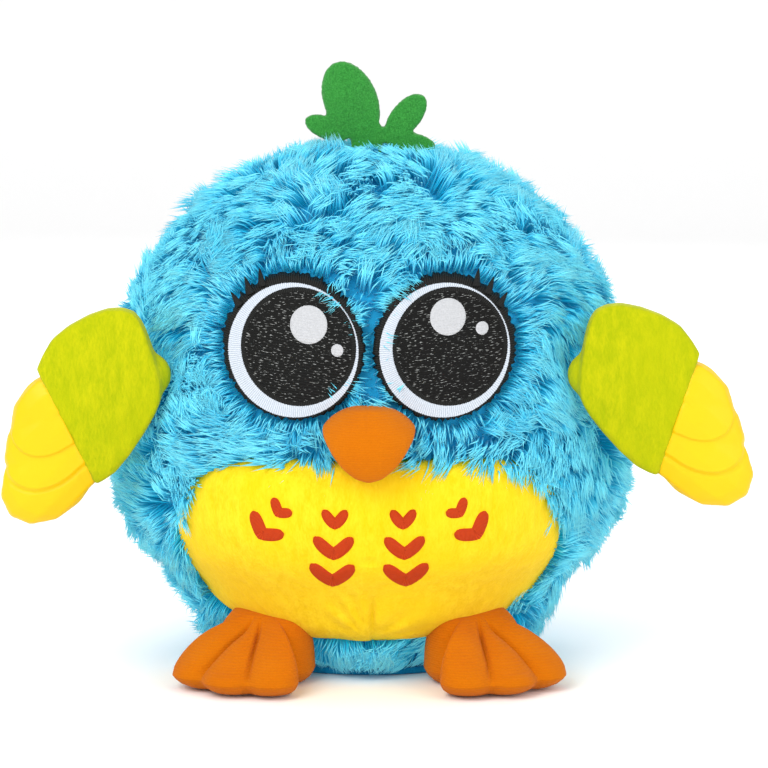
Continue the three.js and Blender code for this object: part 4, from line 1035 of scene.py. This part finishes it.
def chevrons(surface):
    """Rows of V marks in satin stitch: three each side of the middle and two L marks outside them."""
    thread = satin_finish("orange_thread", colour(168, 42, 4), colour(198, 66, 14))

    def mark(name, x, z, left, right, bend, wide):
        """A V whose arms rise from its point by left and right, each given as across and up."""
        low = np.array([x, z])
        arms = []
        for dx, dz in (left, right):
            share = np.linspace(0, 1, 12)[:, None]
            end = low + np.array([dx, dz])
            bow = np.array([[0, -bend]]) * np.sin(share * math.pi) * (1 - 0.4 * share)
            arms.append(low + (end - low) * share + bow)
        path = np.concatenate([arms[0][::-1], arms[1][1:]])
        share = np.linspace(-1, 1, len(path))
        widths = wide * MM * np.sqrt(np.clip(1.02 - np.abs(share) ** 5, 0.02, 1))
        satin(name, path, widths, surface, thread, "embroidery", 0.8)

    for side, word in ((1, "left"), (-1, "right")):
        for i, (x, half, z, wide) in enumerate(CHEVRONS):
            rise = 3.0 + 0.46 * half
            arms = (-half * MM, rise * MM), (half * MM, rise * MM)
            mark(f"chevron_{word}_{i + 1}", side * x * MM, z * MM, *arms, 0.75 * MM, wide)
        for i, (x, z, outer, inner, bend, wide) in enumerate(TICKS):
            arms = [(side * across * MM, up * MM) for across, up in (outer, inner)]
            mark(f"tick_{word}_{i + 1}", side * x * MM, z * MM, *arms, bend * MM, wide)


# ---------- feet ----------
FOOT = {
    "apart": 35, "forward": 45, "turn": 26, "fan": 34,
    "toe": 8.9, "run": 24, "heel": 17, "high": 26, "drop": 0.6, "rim": 5.2,
}


def foot(name):
    """Stuffed foot: a fan of three toes, creased between them, with a seam round its edge."""
    side = 1 if name == "left" else -1
    around, rings = 260, 46
    turn = disc(around, [1], -np.pi)[0]
    toes = np.radians([-FOOT["fan"], 0, FOOT["fan"]])
    reach = np.full(around, float(FOOT["heel"]))
    for toe in toes:
        off = turn - toe
        root = FOOT["toe"] ** 2 - (FOOT["run"] * np.sin(off)) ** 2
        tip = FOOT["run"] * np.cos(off) + np.sqrt(np.maximum(root, 0))
        tip = np.where((root > 0) & (np.cos(off) > 0), tip, 0)
        reach = np.maximum(reach, tip)
    reach = np.convolve(np.concatenate([reach[-2:], reach, reach[:2]]), np.ones(5) / 5, "valid")
    share, angle = np.meshgrid(np.linspace(0, 1, rings + 1)[1:] ** 0.75, turn, indexing="ij")
    radius = share * reach
    crease = np.zeros_like(radius)
    for middle in (toes[0] / 2, toes[2] / 2):
        off = radius * (angle - middle)
        crease += 0.62 * np.exp(-(off / 0.65) ** 2) + 0.42 * np.exp(-(off / 3.0) ** 2)
    crease *= smoothstep(radius, 3.0, 11.0)
    dome = (1 - share**5) ** 0.5
    slope = 1 - FOOT["drop"] * np.clip((radius * np.cos(angle) + 4) / (FOOT["run"] + FOOT["toe"]), 0, 1)
    soft = noise_at(radius * np.cos(angle) * 0.11, radius * np.sin(angle) * 0.11, 3.0 * side)
    rim = FOOT["rim"]
    top = rim + (FOOT["high"] * slope - rim) * dome - 3.6 * crease * dome + 0.5 * soft
    heading = np.radians(-90 + side * FOOT["turn"])

    def placed(r, theta, z):
        x = side * FOOT["apart"] + r * np.cos(theta + heading)
        y = -FOOT["forward"] + r * np.sin(theta + heading)
        return np.stack([x, y, z * np.ones_like(x)], -1).reshape(-1, 3)

    points = [placed(np.zeros(1), np.zeros(1), np.array([FOOT["high"]])), placed(radius, angle, top)]
    below = ((1.0, 4.8), (0.99, 4.4), (0.97, 3.6), (0.92, 2.3), (0.84, 1.1), (0.72, 0.4), (0.5, 0.2))
    points += [placed(reach * s, turn, np.full(around, z)) for s, z in below]
    points.append(placed(np.zeros(1), np.zeros(1), np.array([0.2])))
    points = np.concatenate(points) * MM
    limit = body_front(points[:, 0], np.maximum(points[:, 2], BODY["low"] * MM), -0.4)
    clear = points[:, 2] > 2.2 * MM
    points[:, 1] = np.where(clear, np.minimum(points[:, 1], limit), points[:, 1])
    starts = [1 + i * around for i in range(rings + len(below))]
    faces = rings_joined(starts, around, len(points) - 1)
    shape = outward(piece(f"foot_{name}_stuffed", points, faces))
    wear(shape, KNIT, "knit", "body", f"foot_{name}")
    return shape


# ---------- wings ----------
WING = {"length": 78, "width": 45, "behind": 11, "above": 9, "plane": -51, "droop": 45}
SEAM = ((0.45, 0.43), (0.64, -0.46))
FEATHERS = ((0.53, 0.13, 0.22, 0.27), (0.63, 0.0, 0.235, 0.29))
SAG = {1: 7.0, -1: -1.0}     # degrees that each side's soft parts sit above the arm


def sagged(shape, side):
    """Turns a wing's soft part a few degrees about its pivot, as it hangs on its arm."""
    shape.data.transform(lifted(side, SAG[side]))


def along_wing(points, side):
    """Shares of the wing's length and width at each point, from its pivot."""
    x = side * points[:, 0] / MM - PIVOT["x"]
    z = points[:, 2] / MM - PIVOT["z"]
    turn = math.radians(WING["droop"])
    u, v = x * math.cos(turn) - z * math.sin(turn), x * math.sin(turn) + z * math.cos(turn)
    return (u + WING["behind"]) / WING["length"], (v - WING["above"]) / WING["width"]


def feathered(tip, side):
    """Steps the moulded tip's faces where one feather overlaps the next."""
    points = points_of(tip)
    along, across = along_wing(points, side)
    step = np.zeros(len(points))
    for i, (a, c, length, width) in enumerate(FEATHERS):
        inside = np.hypot((along - a) / length, (across - c) / width)
        step = np.maximum(step, (1.5 - 0.75 * i) * (1 - smoothstep(inside, 0.93, 1.0)))
        step -= 0.45 * np.exp(-(((inside - 1.03) / 0.04) ** 2)) * (step < 0.4)
    (a0, c0), (a1, c1) = SEAM
    run, fall = (a1 - a0) * WING["length"], (c1 - c0) * WING["width"]
    size = math.hypot(run, fall)
    out = (-fall / size, run / size)
    past = (along - a0) * WING["length"] * out[0] + (across - c0) * WING["width"] * out[1]
    tuck = 1.3 * MM * (1 - smoothstep(past, 0.3, 2.4))
    turn = math.radians(WING["droop"])
    points[:, 0] -= side * tuck * (out[0] * math.cos(turn) + out[1] * math.sin(turn))
    points[:, 2] -= tuck * (out[1] * math.cos(turn) - out[0] * math.sin(turn))
    off = points[:, 1] - WING["plane"] * MM
    points[:, 1] += np.sign(off) * step * MM * smoothstep(np.abs(off), 0.8 * MM, 2.5 * MM)
    set_points(tip, points)


def root_ball(side):
    """Stuffing round the wing's hub, joined into the padded part."""
    place = (side * (PIVOT["x"] + 1) * MM, (WING["plane"] + 1.5) * MM, PIVOT["z"] * MM)
    ball = primitive("uv_sphere", segments=24, ring_count=16, radius=7.6 * MM, location=place)
    ball.scale = (1, 0.72, 1)
    bpy.ops.object.transform_apply(location=True, rotation=True, scale=True)
    return ball


def wing(name):
    """Padded plush part and moulded tip of one wing, on its arm."""
    body = f"wing_{name}"
    side = 1 if name == "left" else -1
    plush = soft_copy(f"wing_plush_{name}", f"wing_{name}_padded", 1.0, 0.5, 10, root_ball(side))
    apply(plush, "SUBSURF", levels=1, render_levels=1)
    wear(plush, LIME, "wing_plush", body, f"wing_plush_{name}")
    tip = soft_copy(f"wing_tip_{name}", f"wing_{name}_tip", 0.7, 0.5, 6)
    apply(tip, "SUBSURF", levels=1, render_levels=1)
    feathered(tip, side)
    sagged(plush, side)
    sagged(tip, side)
    wear(tip, VINYL, "soft_vinyl", body, f"wing_tip_{name}")


def flap():
    """The rear flap's cloth, drawn in on its outer face to leave room for its pile."""
    panel = soft_copy("closure_flap", "flap_cloth", 0.9, 0.5, 4)
    points, normals = points_of(panel), normals_of(panel)
    outline = body_outline(0)
    radius = np.interp(points[:, 2], outline[:, 1], outline[:, 0])
    reach = np.hypot(points[:, 0], points[:, 1] * BODY["width"] / BODY["depth"])
    outer = smoothstep(reach, radius - 1.5 * MM, radius - 0.3 * MM)
    set_points(panel, points - normals * (outer * 1.2 * MM)[:, None])
    wear(panel, SKIN, "fur", "flap", "closure_flap")


# ---------- inner workings ----------
PLASTICS = {
    "shell_plastic": ((232, 232, 226), 0.42),
    "gear_plastic": ((240, 236, 222), 0.36),
    "dark_plastic": ((40, 42, 45), 0.4),
    "cone_paper": ((52, 50, 48), 0.9),
}


def inner_finishes():
    """Puts a finish on every CAD node that is carried over as it is."""
    kinds = {name: plastic_finish(name, colour(*tone), rough) for name, (tone, rough) in PLASTICS.items()}
    kinds.update(board=board_finish(), steel=steel_finish(), cell_wrap=cell_finish(), hook_tape=tape_finish())
    for row in frame["record"]["subparts"]:
        if row["material_slot"] in kinds:
            for slot in NODES[row["node"]].material_slots:
                slot.material = kinds[row["material_slot"]]


# ---------- making ----------
studio()
FUR, SKIN, KNIT, VINYL = fur_finish(), skin_finish(), knit_finish(), vinyl_finish()
LIMES = (colour(146, 160, 0), colour(164, 170, 0), colour(184, 182, 8))
LIME = plush_finish("wing_plush", *LIMES, (0, 0.8, 0))
BLACK_THREAD = satin_finish("black_thread", colour(8, 8, 8), colour(36, 37, 35))
inner_finishes()
stuffed_body()
base_cover()
fur([foot("left"), foot("right")])
for hand in (1, -1):
    eye_patch(hand)
    lashes(hand, BLACK_THREAD)
beak()
leaf()
belly()
for hand in ("left", "right"):
    wing(hand)
flap()
